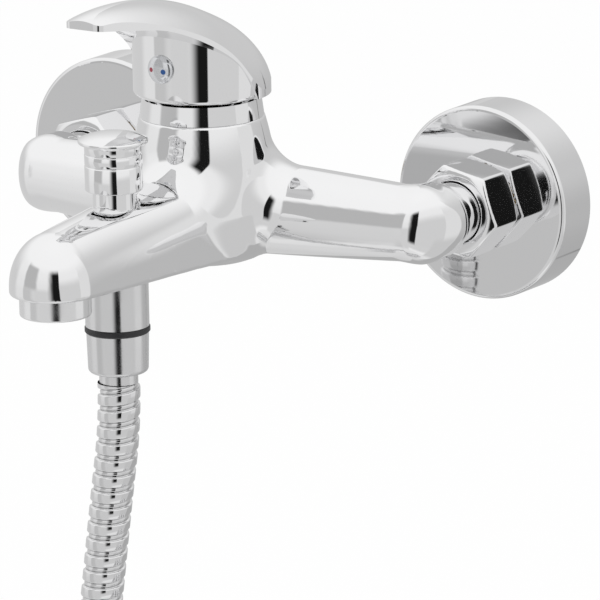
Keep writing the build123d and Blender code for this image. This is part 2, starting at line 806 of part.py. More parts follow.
# Diverter rod: runs from the knob down to the valve, with a collar under the spring
knob_seat_z = knob_top_z - 3.0
with BuildPart() as rod:
    revolve(
        profile(
            diverter_axis,
            (0, valve_seat_z + valve_thickness - 2.0),
            (rod_r - 1.0, valve_seat_z + valve_thickness - 2.0),
            (rod_r - 1.0, valve_seat_z + valve_thickness),
            (rod_r, valve_seat_z + valve_thickness),
            (rod_r, rod_collar_z - rod_collar_thickness),
            (rod_collar_r, rod_collar_z - rod_collar_thickness),
            (rod_collar_r, rod_collar_z),
            (rod_r, rod_collar_z),
            (rod_r, knob_seat_z),
            (0, knob_seat_z),
        ),
        axis=diverter_axis,
    )
save(rod.part, "diverter_rod")

with BuildPart() as valve:
    revolve(
        profile(
            diverter_axis,
            (0, valve_seat_z),
            (valve_r, valve_seat_z),
            (valve_r, valve_seat_z + valve_thickness),
            (rod_r - 1.0, valve_seat_z + valve_thickness),
            (rod_r - 1.0, valve_seat_z + valve_thickness - 2.0),
            (0, valve_seat_z + valve_thickness - 2.0),
        ),
        axis=diverter_axis,
    )
save(valve.part, "diverter_valve")

# Return spring round the rod, between its collar and the top of the bonnet
spring_bottom_z = rod_collar_z + spring_wire_r
spring_top_z = bonnet_top_z - bonnet_top_wall - spring_wire_r
with BuildPart() as spring:
    spring_pitch = (spring_top_z - spring_bottom_z) / spring_turns
    with BuildLine() as coil_line:
        Helix(
            pitch=spring_pitch,
            height=spring_top_z - spring_bottom_z,
            radius=spring_r,
            center=(0, diverter_y, spring_bottom_z),
        )
    with BuildSketch(Plane(coil_line.edges()[0] @ 0, z_dir=coil_line.edges()[0] % 0)):
        RegularPolygon(spring_wire_r, 6)
    sweep()
save(spring.part, "diverter_spring")

# Diverter knob: a hollow cap with a wider head and fine grooves
with BuildPart() as knob:
    with BuildSketch(Plane.XY.offset(knob_bottom_z)):
        with Locations((0, diverter_y)):
            Circle(knob_r)
    extrude(amount=knob_cap_z - knob_bottom_z)
    with BuildSketch(Plane.XY.offset(knob_cap_z)):
        with Locations((0, diverter_y)):
            Circle(knob_cap_r)
    extrude(amount=knob_top_z - knob_cap_z)
    fillet(knob.edges().filter_by(GeomType.CIRCLE).sort_by(Axis.Z)[-1], knob_cap_fillet)
    for groove_z in knob_grooves_z:
        with BuildSketch(Plane.XY.offset(groove_z - knob_groove_width / 2)):
            with Locations((0, diverter_y)):
                Circle(knob_r + 1.0)
                Circle(knob_r - knob_groove_depth, mode=Mode.SUBTRACT)
        extrude(amount=knob_groove_width, mode=Mode.SUBTRACT)
    with BuildSketch(Plane.XY.offset(knob_bottom_z)):
        with Locations((0, diverter_y)):
            Circle(knob_r - knob_wall)
    extrude(amount=knob_cap_z - 2.0 - knob_bottom_z, mode=Mode.SUBTRACT)
    with BuildSketch(Plane.XY.offset(knob_bottom_z)):
        with Locations((0, diverter_y)):
            Circle(rod_r)
    extrude(amount=knob_seat_z - knob_bottom_z, mode=Mode.SUBTRACT)
save(knob.part, "diverter_knob")

# Aerator: a chromed ring that screws into the spout, over a washer and a ribbed insert
aerator_bottom_z = spout_bottom_z - aerator_visible
with BuildPart() as aerator_ring:
    with BuildSketch(Plane.XY.offset(spout_bottom_z)):
        with Locations((0, aerator_y)):
            Circle(aerator_r)
    extrude(amount=-aerator_visible)
    fillet(aerator_ring.edges().sort_by(Axis.Z)[0], aerator_fillet)
    with BuildSketch(Plane.XY.offset(spout_bottom_z)):
        with Locations((0, aerator_y)):
            Circle(aerator_screw_r)
    extrude(amount=aerator_screw_length)
    with BuildSketch(Plane.XY.offset(aerator_bottom_z)):
        with Locations((0, aerator_y)):
            Circle(aerator_bore_r)
    extrude(amount=40, mode=Mode.SUBTRACT)
    with BuildSketch(Plane.XY.offset(aerator_bottom_z)):
        with Locations((0, aerator_y)):
            Circle(aerator_r)
            Circle(aerator_bore_r - 1.2, mode=Mode.SUBTRACT)
        with Locations((0, aerator_y)):
            Circle(aerator_r - aerator_fillet, mode=Mode.INTERSECT)
    extrude(amount=1.5)
save(aerator_ring.part, "aerator_ring")

insert_bottom_z = aerator_bottom_z + 1.5
with BuildPart() as aerator_insert:
    with BuildSketch(Plane.XY.offset(insert_bottom_z)):
        with Locations((0, aerator_y)):
            Circle(aerator_bore_r - thread_clearance)
    extrude(amount=aerator_insert_length)
    with BuildSketch(Plane.XY.offset(insert_bottom_z)):
        with Locations((0, aerator_y)):
            Circle(aerator_bore_r - 1.3)
    extrude(amount=aerator_insert_length - 1.5, mode=Mode.SUBTRACT)
    with BuildSketch(Plane.XY.offset(insert_bottom_z)):
        with Locations((0, aerator_y)):
            with GridLocations(0, 3.2, 1, 5):
                Rectangle(2 * aerator_bore_r - 2.0, 0.7)
            with GridLocations(3.2, 0, 5, 1):
                Rectangle(0.7, 2 * aerator_bore_r - 2.0)
            Circle(aerator_bore_r - 0.5, mode=Mode.INTERSECT)
    extrude(amount=1.4)
    with BuildSketch(Plane.XY.offset(insert_bottom_z)):
        with Locations((0, aerator_y)):
            with PolarLocations(5.5, 6):
                Circle(0.9)
    extrude(amount=40, mode=Mode.SUBTRACT)
save(aerator_insert.part, "aerator_insert")

with BuildPart() as aerator_washer:
    with BuildSketch(Plane.XY.offset(aerator_seat_z)):
        with Locations((0, aerator_y)):
            Circle(aerator_screw_r)
            Circle(aerator_bore_r - 1.5, mode=Mode.SUBTRACT)
    extrude(amount=aerator_washer_thickness)
save(aerator_washer.part, "aerator_washer")

# Shower outlet: a turned piece screwed up into the spout, with a thread for the hose nut
outlet_end_z = outlet_bottom_z - outlet_thread_length
with BuildPart() as shower_outlet:
    revolve(
        profile(
            diverter_axis,
            (outlet_bore_r, outlet_top_z + outlet_screw_length - 0.3),
            (outlet_screw_r, outlet_top_z + outlet_screw_length - 0.3),
            (outlet_screw_r, outlet_top_z),
            (outlet_r, outlet_top_z),
            (outlet_r, outlet_bottom_z),
            (outlet_thread_r, outlet_bottom_z),
            (outlet_thread_r, outlet_end_z),
            (outlet_bore_r, outlet_end_z),
        ),
        axis=diverter_axis,
    )
save(shower_outlet.part, "shower_outlet")

nut_top_z = outlet_bottom_z - ring_washer_thickness
with BuildPart() as ring_washer:
    revolve(
        profile(
            diverter_axis,
            (outlet_thread_r + thread_clearance, outlet_bottom_z),
            (ring_washer_r - 0.5, outlet_bottom_z),
            (ring_washer_r, outlet_bottom_z - 0.5),
            (ring_washer_r, nut_top_z + 0.5),
            (ring_washer_r - 0.5, nut_top_z),
            (outlet_thread_r + thread_clearance, nut_top_z),
        ),
        axis=diverter_axis,
    )
save(ring_washer.part, "outlet_washer")

# Hose nut: a slightly tapered sleeve that traps the ferrule's flange under a seal
nut_bottom_z = nut_top_z - hose_nut_length
seal_bottom_z = outlet_end_z - hose_seal_thickness
flange_bottom_z = seal_bottom_z - ferrule_flange_thickness
with BuildPart() as hose_nut:
    with BuildSketch(Plane.XY.offset(nut_top_z)):
        with Locations((0, diverter_y)):
            Circle(hose_nut_top_r)
    with BuildSketch(Plane.XY.offset(nut_bottom_z)):
        with Locations((0, diverter_y)):
            Circle(hose_nut_bottom_r)
    loft()
    fillet(hose_nut.faces().sort_by(Axis.Z)[0].edges(), hose_nut_fillet)
    with BuildSketch(Plane.XY.offset(nut_top_z)):
        with Locations((0, diverter_y)):
            Circle(outlet_thread_r + thread_clearance)
    extrude(amount=flange_bottom_z - nut_top_z, mode=Mode.SUBTRACT)
    with BuildSketch(Plane.XY.offset(nut_top_z)):
        with Locations((0, diverter_y)):
            Circle(ferrule_r + ferrule_clearance)
    extrude(amount=-hose_nut_length, mode=Mode.SUBTRACT)
save(hose_nut.part, "hose_nut")

with BuildPart() as hose_seal:
    with BuildSketch(Plane.XY.offset(seal_bottom_z)):
        with Locations((0, diverter_y)):
            Circle(ferrule_flange_r)
            Circle(outlet_bore_r, mode=Mode.SUBTRACT)
    extrude(amount=hose_seal_thickness)
save(hose_seal.part, "hose_seal")

ferrule_bottom_z = nut_bottom_z - ferrule_visible
with BuildPart() as ferrule:
    revolve(
        profile(
            diverter_axis,
            (hose_bore_r, seal_bottom_z),
            (ferrule_flange_r, seal_bottom_z),
            (ferrule_flange_r, flange_bottom_z),
            (ferrule_r, flange_bottom_z),
            (ferrule_r, ferrule_bottom_z),
            (hose_bore_r, ferrule_bottom_z),
        ),
        axis=diverter_axis,
    )
save(ferrule.part, "hose_ferrule")

# Hose route: chosen points from the ferrule down to the left side of the coil
hose_start = Vector(0, diverter_y, ferrule_bottom_z)
coil_centre = hose_start + Vector(coil_drift_x + coil_r, 0, -coil_drop)
route = [
    hose_start,
    hose_start + Vector(0, 0, -25.5),
    hose_start + Vector(-4.9, 0, -51.0),
    hose_start + Vector(-9.3, 0, -77.0),
    hose_start + Vector(-14.2, 0, -103.0),
    hose_start + Vector(-19.2, 0, -127.0),
    hose_start + Vector(coil_drift_x, 0, -150.0),
    hose_start + Vector(coil_drift_x, 0, -coil_drop),
]


def bend_radii(points):
    """Radius at each inner point: 0.45 of the shorter run over the tangent of half the turn."""
    radii = []
    for before, corner, after in zip(points, points[1:], points[2:]):
        first = corner - before
        second = after - corner
        half_turn = radians(first.get_angle(second)) / 2
        radii.append(0.45 * min(first.length, second.length) / tan(half_turn))
    return radii


route_radii = bend_radii(route)
print("hose bend radii", [round(radius, 1) for radius in route_radii])
with BuildLine() as hose_line:
    FilletPolyline(*route, radius=route_radii)
hose_wire = hose_line.wire()
free_length = hose_wire.length
rib_count = int((free_length - 2 * rib_margin) / rib_pitch)
rib_start = (free_length - rib_count * rib_pitch) / 2
rib_slope = (rib_pitch - rib_band) / 2
groove_r = hose_r - hose_groove_depth


def hose_circle(place, radius):
    """Circle square to the hose at a distance along it, on a steady X axis."""
    point = hose_wire.position_at(place / free_length)
    along = hose_wire.tangent_at(place / free_length)
    steady = Vector(0, 1, 0).cross(along)
    with BuildSketch(Plane(origin=point, x_dir=steady, z_dir=along)) as section:
        Circle(radius)
    return section.sketch


hose_sections = [hose_circle(0, hose_r)]
for rib in range(rib_count):
    foot = rib_start + rib * rib_pitch
    hose_sections.append(hose_circle(foot, groove_r))
    hose_sections.append(hose_circle(foot + rib_slope, hose_r))
    hose_sections.append(hose_circle(foot + rib_slope + rib_band, hose_r))
hose_sections.append(hose_circle(rib_start + rib_count * rib_pitch, groove_r))
hose_sections.append(hose_circle(free_length, hose_r))
with BuildPart() as hose_bore:
    with BuildSketch(Plane(origin=hose_start, x_dir=(1, 0, 0), z_dir=(0, 0, -1))):
        Circle(hose_bore_r)
    sweep(path=hose_wire)
print("bore volume over section times length", hose_bore.part.volume / (pi * hose_bore_r**2 * free_length))
with BuildPart() as hose:
    loft(hose_sections, ruled=True)
    add(hose_bore.part, mode=Mode.SUBTRACT)
save(hose.part, "shower_hose")

# Coil: the rest of the hose, wound towards the wall, each quarter turn made of two arcs. It ends
# on the side where it began, with a short run straight down
quarters = round(4 * coil_turns)


def coil_place(quarter):
    """Point and direction on the coil after so many quarter turns, first down the left side."""
    angle = quarter * pi / 2
    point = coil_centre + Vector(-coil_r * cos(angle), coil_pitch * quarter / 4, -coil_r * sin(angle))
    along = Vector(2 * pi * coil_r * sin(angle), coil_pitch, -2 * pi * coil_r * cos(angle)).normalized()
    if quarter in (0, quarters):
        along = Vector(0, 0, -1 if cos(angle) > 0 else 1)
    return point, along


with BuildLine() as coil_line:
    for quarter in range(quarters):
        first_point, first_way = coil_place(quarter)
        last_point, last_way = coil_place(quarter + 1)
        chord = last_point - first_point
        square_term = 2 * (1 - first_way.dot(last_way))
        line_term = 2 * chord.dot(first_way + last_way)
        reach = (sqrt(line_term**2 + 4 * square_term * chord.dot(chord)) - line_term) / (2 * square_term)
        middle = (first_point + first_way * reach + last_point - last_way * reach) / 2
        opening_arc = TangentArc(first_point, middle, tangent=first_way)
        TangentArc(middle, last_point, tangent=opening_arc % 1)
    coil_end = last_point + last_way * coil_end_straight
    Line(last_point, coil_end)
coil_wire = coil_line.wire()
with BuildPart() as coil:
    with BuildSketch(Plane(origin=coil_place(0)[0], x_dir=(1, 0, 0), z_dir=(0, 0, -1))):
        Circle(hose_r)
    sweep(path=coil_wire)
save(coil.part, "hose_coil")

samples = [coil_wire.position_at(step / 400) for step in range(401)]
skip = round(400 / coil_turns / 2)
least_gap = min(
    (samples[one] - samples[other]).length - 2 * hose_r
    for one in range(401)
    for other in range(one + skip, 401)
)
print("least gap of the coil to itself", round(least_gap, 2))
print("coil volume over section times length", coil.part.volume / (pi * hose_r**2 * coil_wire.length))
print("hose length", round(free_length + coil_wire.length, 1))

# Tie: a flat band round the passes of the coil at its lowest point
tie_z = coil_centre.Z - coil_r
first_pass_y = coil_centre.Y + coil_pitch / 4
last_pass_y = first_pass_y + coil_pitch * int(coil_turns - 0.25)
tie_plane = across(coil_centre.X - tie_width / 2)
with BuildPart() as tie:
    with BuildSketch(tie_plane):
        with Locations((first_pass_y, tie_z), (last_pass_y, tie_z)):
            Circle(hose_r + tie_gap + tie_thickness)
        make_hull()
    extrude(amount=tie_width)
    with BuildSketch(tie_plane):
        with Locations((first_pass_y, tie_z), (last_pass_y, tie_z)):
            Circle(hose_r + tie_gap)
        make_hull()
    extrude(amount=tie_width, mode=Mode.SUBTRACT)
save(tie.part, "hose_tie")

# Handset end of the hose, hanging down: ferrule, seal and a conical nut with an open thread
end_axis = Axis((coil_end.X, coil_end.Y, 0), (0, 0, 1))
end_nut_z = coil_end.Z - ferrule_visible
end_flange_z = end_nut_z - handset_nut_floor
end_seal_z = end_flange_z - ferrule_flange_thickness
end_thread_z = end_seal_z - hose_seal_thickness
end_nut_mouth_z = end_nut_z - handset_nut_length
with BuildPart() as end_ferrule:
    revolve(
        profile(
            end_axis,
            (hose_bore_r, coil_end.Z),
            (ferrule_r, coil_end.Z),
            (ferrule_r, end_flange_z),
            (ferrule_flange_r, end_flange_z),
            (ferrule_flange_r, end_seal_z),
            (hose_bore_r, end_seal_z),
        ),
        axis=end_axis,
    )
save(end_ferrule.part, "handset_ferrule")

with BuildPart() as end_seal:
    with BuildSketch(Plane.XY.offset(end_seal_z)):
        with Locations((coil_end.X, coil_end.Y)):
            Circle(ferrule_flange_r)
            Circle(outlet_bore_r, mode=Mode.SUBTRACT)
    extrude(amount=-hose_seal_thickness)
save(end_seal.part, "handset_seal")

with BuildPart() as end_nut:
    revolve(
        profile(
            end_axis,
            (ferrule_r + ferrule_clearance, end_nut_z),
            (handset_nut_neck_r, end_nut_z),
            (handset_nut_r, end_thread_z - 1.0),
            (handset_nut_r, end_nut_mouth_z),
            (handset_thread_r + thread_clearance, end_nut_mouth_z),
            (handset_thread_r + thread_clearance, end_thread_z),
            (ferrule_flange_r + ferrule_clearance, end_thread_z),
            (ferrule_flange_r + ferrule_clearance, end_flange_z),
            (ferrule_r + ferrule_clearance, end_flange_z),
        ),
        axis=end_axis,
    )
save(end_nut.part, "handset_nut")
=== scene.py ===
import math
from functools import partial

import bpy
import numpy as np
import openvdb
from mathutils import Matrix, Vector


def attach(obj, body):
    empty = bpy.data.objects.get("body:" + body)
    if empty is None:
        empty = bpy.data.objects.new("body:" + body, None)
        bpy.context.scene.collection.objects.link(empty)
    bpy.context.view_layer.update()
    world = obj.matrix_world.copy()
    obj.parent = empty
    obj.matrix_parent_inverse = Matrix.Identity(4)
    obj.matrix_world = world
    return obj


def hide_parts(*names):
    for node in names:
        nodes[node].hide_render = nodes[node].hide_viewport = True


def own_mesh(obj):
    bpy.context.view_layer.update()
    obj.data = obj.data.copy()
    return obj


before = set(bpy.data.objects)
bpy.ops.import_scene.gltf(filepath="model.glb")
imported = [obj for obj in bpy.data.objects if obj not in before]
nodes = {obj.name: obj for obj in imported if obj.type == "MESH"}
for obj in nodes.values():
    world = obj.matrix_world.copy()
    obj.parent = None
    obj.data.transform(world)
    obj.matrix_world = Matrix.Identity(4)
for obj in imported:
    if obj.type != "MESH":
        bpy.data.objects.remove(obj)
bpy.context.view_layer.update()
mm = 0.001


# Photographer's place: two and a half metres off, to the right of the mixer and a little above
# it, with a long lens that looks down at the tower and fills the picture.
camera_azimuth = math.radians(34.68)
camera_rise = math.radians(14.05)
camera_roll = math.radians(-1.09)
camera_distance = 2.5
aim = Vector((32.23 * mm, -60.0 * mm, -28.9 * mm))
backward = Vector((
    math.sin(camera_azimuth) * math.cos(camera_rise),
    -math.cos(camera_azimuth) * math.cos(camera_rise),
    math.sin(camera_rise),
))
camera_data = bpy.data.cameras.new("camera")
camera_data.sensor_width = 36.0
camera_data.lens = 456.0
camera_data.clip_end = 100.0
camera = bpy.data.objects.new("camera", camera_data)
bpy.context.scene.collection.objects.link(camera)
camera.location = aim + backward * camera_distance
camera.rotation_euler = backward.to_track_quat("Z", "Y").to_euler()
camera.rotation_euler.rotate_axis("Z", camera_roll)
bpy.context.scene.camera = camera
bpy.context.scene.view_settings.view_transform = "Standard"


# Studio round the mixer: a pale table, a large soft lamp overhead, and grey screens with dark
# gaps between them. Its tones are set by direction, and the chrome shows them all.
studio_centre = Vector((0.0, -0.09, 0.0))
table_z, table_size = -0.335, 60.0
table_tone, table_white_share = 0.93, 0.93
room_light = 0.9
lamp_place = Vector((-0.5, -1.0, 1.9))
lamp_size, lamp_power = 1.6, 9.0
half_turn = 180.0

# Share of the way from straight down to straight up, and the tone there
rise_tones = (
    (0.0, 0.66), (0.16, 0.82), (0.19, 0.90), (0.24, 0.68), (0.33, 0.74),
    (0.44, 0.80), (0.50, 0.84), (0.62, 0.90), (0.72, 0.98), (1.0, 1.0),
)

# Each screen's left and right edges, in degrees round from the camera to the right, and how soft
# those two are; its low and high edges, in degrees above level, and how soft they are; its tone
screens = (
    (98.5, 184.0, 3.0, 4.0, -70.0, 34.0, 18.0, 0.63),
    (98.5, 184.0, 3.0, 4.0, -70.0, 0.0, 12.0, 0.52),
    (98.5, 184.0, 3.0, 4.0, -70.0, -24.0, 8.0, 0.46),
    (-184.0, -112.0, 4.0, 8.0, -70.0, 16.0, 16.0, 0.66),
    (-84.0, -56.0, 2.0, 10.0, -60.0, -3.0, 5.0, 0.58),
    (-56.0, -14.0, 10.0, 10.0, -60.0, -3.0, 5.0, 0.68),
    (-82.0, -46.0, 3.0, 5.0, -4.0, 32.0, 4.0, 0.50),
    (12.0, 67.0, 3.0, 1.2, -42.0, 8.0, 8.0, 0.67),
    (67.0, 98.5, 1.2, 3.0, -42.0, 22.0, 9.0, 0.78),
    (50.0, 98.5, 4.0, 3.0, -60.0, -25.0, 5.0, 0.62),
)

# The same of the dark gaps between screens: one beside the camera and a narrow one behind
dark_gaps = (
    (-10.8, 12.2, 9.0, 1.2, -36.0, 29.0, 6.0, 0.01),
    (129.4, 130.8, 0.6, 0.6, -30.0, 0.0, 4.0, 0.05),
)


def add_node(tree, kind, links=(), **settings):
    """One shader node with its settings, and its inputs from values or from other nodes."""
    node = tree.nodes.new(kind)
    for name, value in settings.items():
        setattr(node, name, value)
    for place, source in links:
        if isinstance(source, bpy.types.NodeSocket):
            tree.links.new(source, node.inputs[place])
        else:
            node.inputs[place].default_value = source
    return node


def sum_of(tree, operation, first, second=0.0):
    """Result of one sum on numbers or sockets."""
    node = add_node(tree, "ShaderNodeMath", [(0, first), (1, second)], operation=operation)
    return node.outputs[0]


def tone_ramp(tree, factor, stops):
    """Grey tones along a factor from 0 to 1."""
    ramp = add_node(tree, "ShaderNodeValToRGB", [(0, factor)])
    ramp.color_ramp.interpolation = "EASE"
    while len(ramp.color_ramp.elements) < len(stops):
        ramp.color_ramp.elements.new(0.5)
    for stop, (place, tone) in zip(ramp.color_ramp.elements, stops):
        stop.position = place
        stop.color = (tone, tone, tone, 1.0)
    return ramp.outputs[0]


def soft_step(tree, value, place, soft):
    """Nothing below a place and one above it, with a soft edge."""
    node = add_node(
        tree, "ShaderNodeMapRange", [(0, value), (1, place - soft), (2, place + soft)],
        interpolation_type="SMOOTHSTEP",
    )
    return node.outputs[0]


def window(tree, value, low, high, low_soft, high_soft):
    """One inside low to high, nothing outside, with soft edges."""
    rise = soft_step(tree, value, low, low_soft)
    fall = soft_step(tree, value, high, high_soft)
    return sum_of(tree, "SUBTRACT", rise, fall)


def along_way(tree, parts, way_x, way_y):
    """How far a direction goes along a level way."""
    return sum_of(
        tree, "ADD",
        sum_of(tree, "MULTIPLY", parts.outputs[0], way_x),
        sum_of(tree, "MULTIPLY", parts.outputs[1], way_y),
    )


def studio_tones(tree, direction):
    """Brightness of the studio seen in a direction, by angle round and above the mixer."""
    parts = add_node(tree, "ShaderNodeSeparateXYZ", [(0, direction)])
    toward_x, toward_y = math.sin(camera_azimuth), -math.cos(camera_azimuth)
    ahead = along_way(tree, parts, toward_x, toward_y)
    rightward = along_way(tree, parts, -toward_y, toward_x)
    round_turn = sum_of(tree, "ARCTAN2", rightward, ahead)
    round_angle = sum_of(tree, "MULTIPLY", round_turn, half_turn / math.pi)
    rise_turn = sum_of(tree, "ARCSINE", parts.outputs[2])
    rise_angle = sum_of(tree, "MULTIPLY", rise_turn, half_turn / math.pi)
    rise_share = sum_of(tree, "ADD", sum_of(tree, "DIVIDE", rise_angle, half_turn), 0.5)
    tone = tone_ramp(tree, rise_share, rise_tones)
    for left, right, left_soft, right_soft, low, high, fade, screen_tone in screens + dark_gaps:
        mask = sum_of(
            tree, "MULTIPLY",
            window(tree, round_angle, left, right, left_soft, right_soft),
            window(tree, rise_angle, low, high, fade, fade),
        )
        tone = add_node(
            tree, "ShaderNodeMix", [(0, mask), (2, tone), (3, screen_tone)], data_type="FLOAT"
        ).outputs[0]
    return tone


world = bpy.data.worlds.new("studio")
world.use_nodes = True
bpy.context.scene.world = world
tree = world.node_tree
tree.nodes.clear()
sky_direction = add_node(tree, "ShaderNodeTexCoord").outputs["Generated"]
rays = add_node(tree, "ShaderNodeLightPath")
reflected = studio_tones(tree, sky_direction)
shown = add_node(
    tree, "ShaderNodeMix",
    [(0, rays.outputs["Is Glossy Ray"]), (2, room_light), (3, reflected)], data_type="FLOAT",
).outputs[0]
shown = add_node(
    tree, "ShaderNodeMix",
    [(0, rays.outputs["Is Camera Ray"]), (2, shown), (3, 1.0)], data_type="FLOAT",
).outputs[0]
backdrop = add_node(tree, "ShaderNodeBackground", [(0, (1, 1, 1, 1)), (1, shown)])
add_node(tree, "ShaderNodeOutputWorld", [(0, backdrop.outputs[0])])

bpy.ops.mesh.primitive_plane_add(size=table_size, location=(0, 0, table_z))
table = bpy.context.object
table.name = "table"
table_paint = bpy.data.materials.new("table_paint")
table_paint.use_nodes = True
tree = table_paint.node_tree
tree.nodes.clear()
place = add_node(tree, "ShaderNodeNewGeometry").outputs["Position"]
from_centre = add_node(
    tree, "ShaderNodeVectorMath", [(0, place), (1, studio_centre)], operation="SUBTRACT"
).outputs[0]
table_direction = add_node(
    tree, "ShaderNodeVectorMath", [(0, from_centre)], operation="NORMALIZE"
).outputs[0]
rays = add_node(tree, "ShaderNodeLightPath")
matt = add_node(tree, "ShaderNodeBsdfDiffuse", [(0, (table_tone, table_tone, table_tone, 1))])
mirrored = add_node(tree, "ShaderNodeEmission", [(1, studio_tones(tree, table_direction))])
white = add_node(tree, "ShaderNodeEmission", [(1, 1.0)])
seen = add_node(
    tree, "ShaderNodeMixShader",
    [(0, table_white_share), (1, matt.outputs[0]), (2, white.outputs[0])],
)
for_camera = add_node(
    tree, "ShaderNodeMixShader",
    [(0, rays.outputs["Is Camera Ray"]), (1, matt.outputs[0]), (2, seen.outputs[0])],
)
for_chrome = add_node(
    tree, "ShaderNodeMixShader",
    [(0, rays.outputs["Is Glossy Ray"]), (1, for_camera.outputs[0]), (2, mirrored.outputs[0])],
)
add_node(tree, "ShaderNodeOutputMaterial", [(0, for_chrome.outputs[0])])
table.data.materials.append(table_paint)

lamp_data = bpy.data.lights.new("soft_lamp", "AREA")
lamp_data.energy = lamp_power
lamp_data.size = lamp_size
lamp = bpy.data.objects.new("soft_lamp", lamp_data)
bpy.context.scene.collection.objects.link(lamp)
lamp.location = lamp_place
lamp.rotation_euler = (lamp_place - aim).to_track_quat("Z", "Y").to_euler()
lamp.visible_glossy = False


# Mixer body: brass cast in one piece, ground smooth and chromed. The tower flows into two arms
# and the spout with wide hollows, and the water ways are cored out of it.

# Tower: its radius at four heights, its rounded foot and its top
tower_y = -68.0
tower_stations = np.array([-11.0, 8.0, 19.0, 31.8])
tower_radii = np.array([21.0, 23.9, 23.3, 20.6])
tower_low_z, tower_high_z = -14.0, 34.0
tower_foot_z, tower_foot_round = -16.0, 5.0
tower_top_z, tower_top_round = 31.8, 0.5

# Arms: a taper from the tower to the elbow, the socket behind it and the elbow's blunted corner
arm_root_r, arm_root_y, arm_taper = 15.9, -57.4, 1.3
arm_rear_y, arm_rear_round = -43.6, 2.0
elbow_x, elbow_y, elbow_r = 75.0, -51.7, 12.3
elbow_blunting = 1.25
socket_r, socket_blunting, socket_hollow = 12.65, 1.15, 2.0
socket_rear_y, socket_rear_round = -41.3, 2.2
corner_outward, corner_forward = 0.822, 0.569
corner_distance, corner_round = 11.1, 4.5

# Spout: four places from the nose back to the tower, and at each the half width and the heights
# of the flat bottom, of where the sides begin to arch over and of the top
nose_y, diverter_y = -151.5, -118.0
spout_stations = np.array([nose_y, diverter_y, -90.0, -72.0])
spout_half_widths = np.array([14.8, 16.2, 18.0, 19.0])
spout_bottoms = np.array([-11.0, -12.2, -13.0, -14.0])
spout_springs = np.array([-8.5, -4.5, -1.0, 2.0])
spout_tops = np.array([9.4, 12.6, 16.0, 20.0])
spout_held_y, spout_root_y = -66.0, -62.0
spout_edge_round = 1.2

# Hollows beside the tower: tight at its foot, and growing wide from there up
hollow_low_z, hollow_high_z = -14.0, 2.0
foot_hollow, arm_hollow_growth, spout_hollow_growth = 1.5, 7.5, 6.5

# Water way along the spout, and the inlets that the nipples screw into
water_way_z, water_way_r = 1.0, 5.0
water_way_front_y, water_way_rear_y = -156.5, -72.5
inlet_r, inlet_end_y = 9.0, -51.3

# Upright bores: where along the spout, from which height to which, and radius. The open ones run
# on past the metal, deep below it or high up.
deep, high_up = -30.0, 60.0
bores = (
    (tower_y, 6.0, high_up, 17.6),  # cartridge
    (tower_y, 26.9, high_up, 18.25),  # thread of the cartridge's nut
    (diverter_y, -6.0, 5.5, 7.6),  # diverter's chamber
    (diverter_y, 5.5, high_up, 7.05),  # thread of the diverter's sleeve
    (diverter_y, deep, -6.0, 5.0),  # port that the diverter's valve shuts
    (diverter_y, -12.2, -7.2, 8.55),  # thread of the shower outlet
    (diverter_y, deep, -12.2, 10.45),  # the outlet's wide end
    (nose_y, deep, -2.0, 10.65),  # thread of the aerator's ring
    (nose_y, deep, -11.0, 11.7),  # the ring's wide end
)


def flowing(stations, values):
    """Cubic that passes through four stations."""
    return np.polyfit(stations, values, 3)


def joined(one, other, hollow):
    """Two solids grown together with a hollow fillet of that radius between them."""
    reach = np.hypot(np.maximum(hollow - one, 0.0), np.maximum(hollow - other, 0.0))
    return np.maximum(hollow, np.minimum(one, other)) - reach


def trimmed(one, other, edge):
    """One solid kept only inside another, with the edge between them rounded."""
    reach = np.hypot(np.maximum(edge + one, 0.0), np.maximum(edge + other, 0.0))
    return np.minimum(-edge, np.maximum(one, other)) + reach


spout_shapes = (spout_half_widths, spout_bottoms, spout_springs, spout_tops)
spout_curves = [flowing(spout_stations, values) for values in spout_shapes]
tower_curve = flowing(tower_stations, tower_radii)


def tower_distance(x, y, z):
    """Distance from the skin of the tower, a turned form with a rounded foot."""
    from_axis = np.hypot(x, y - tower_y)
    held_z = np.clip(z, tower_low_z, tower_high_z)
    slope = np.polyval(np.polyder(tower_curve), held_z)
    tower = (from_axis - np.polyval(tower_curve, held_z)) / np.sqrt(1.0 + slope**2)
    tower = trimmed(tower, tower_foot_z - z, tower_foot_round)
    return trimmed(tower, z - tower_top_z, tower_top_round)


def arm_distance(outward, y, z):
    """Distance from the skin of an arm, which tapers to an elbow with a socket behind it."""
    share = np.clip(outward / elbow_x, 0.0, 1.0)
    arm_r = arm_root_r + (elbow_r - arm_root_r) * share**arm_taper
    arm_y = arm_root_y + (elbow_y - arm_root_y) * share
    beyond = np.maximum(outward - elbow_x, 0.0)
    arm = np.sqrt((y - arm_y) ** 2 + z**2 + (elbow_blunting * beyond) ** 2) - arm_r
    arm = trimmed(arm, y - arm_rear_y, arm_rear_round)
    before = np.minimum(y - elbow_y, 0.0)
    socket = (outward - elbow_x) ** 2 + z**2 + (socket_blunting * before) ** 2
    socket = trimmed(np.sqrt(socket) - socket_r, y - socket_rear_y, socket_rear_round)
    arm = joined(arm, socket, socket_hollow)
    corner = (outward - elbow_x) * corner_outward - (y - elbow_y) * corner_forward
    return trimmed(arm, corner - corner_distance, corner_round)


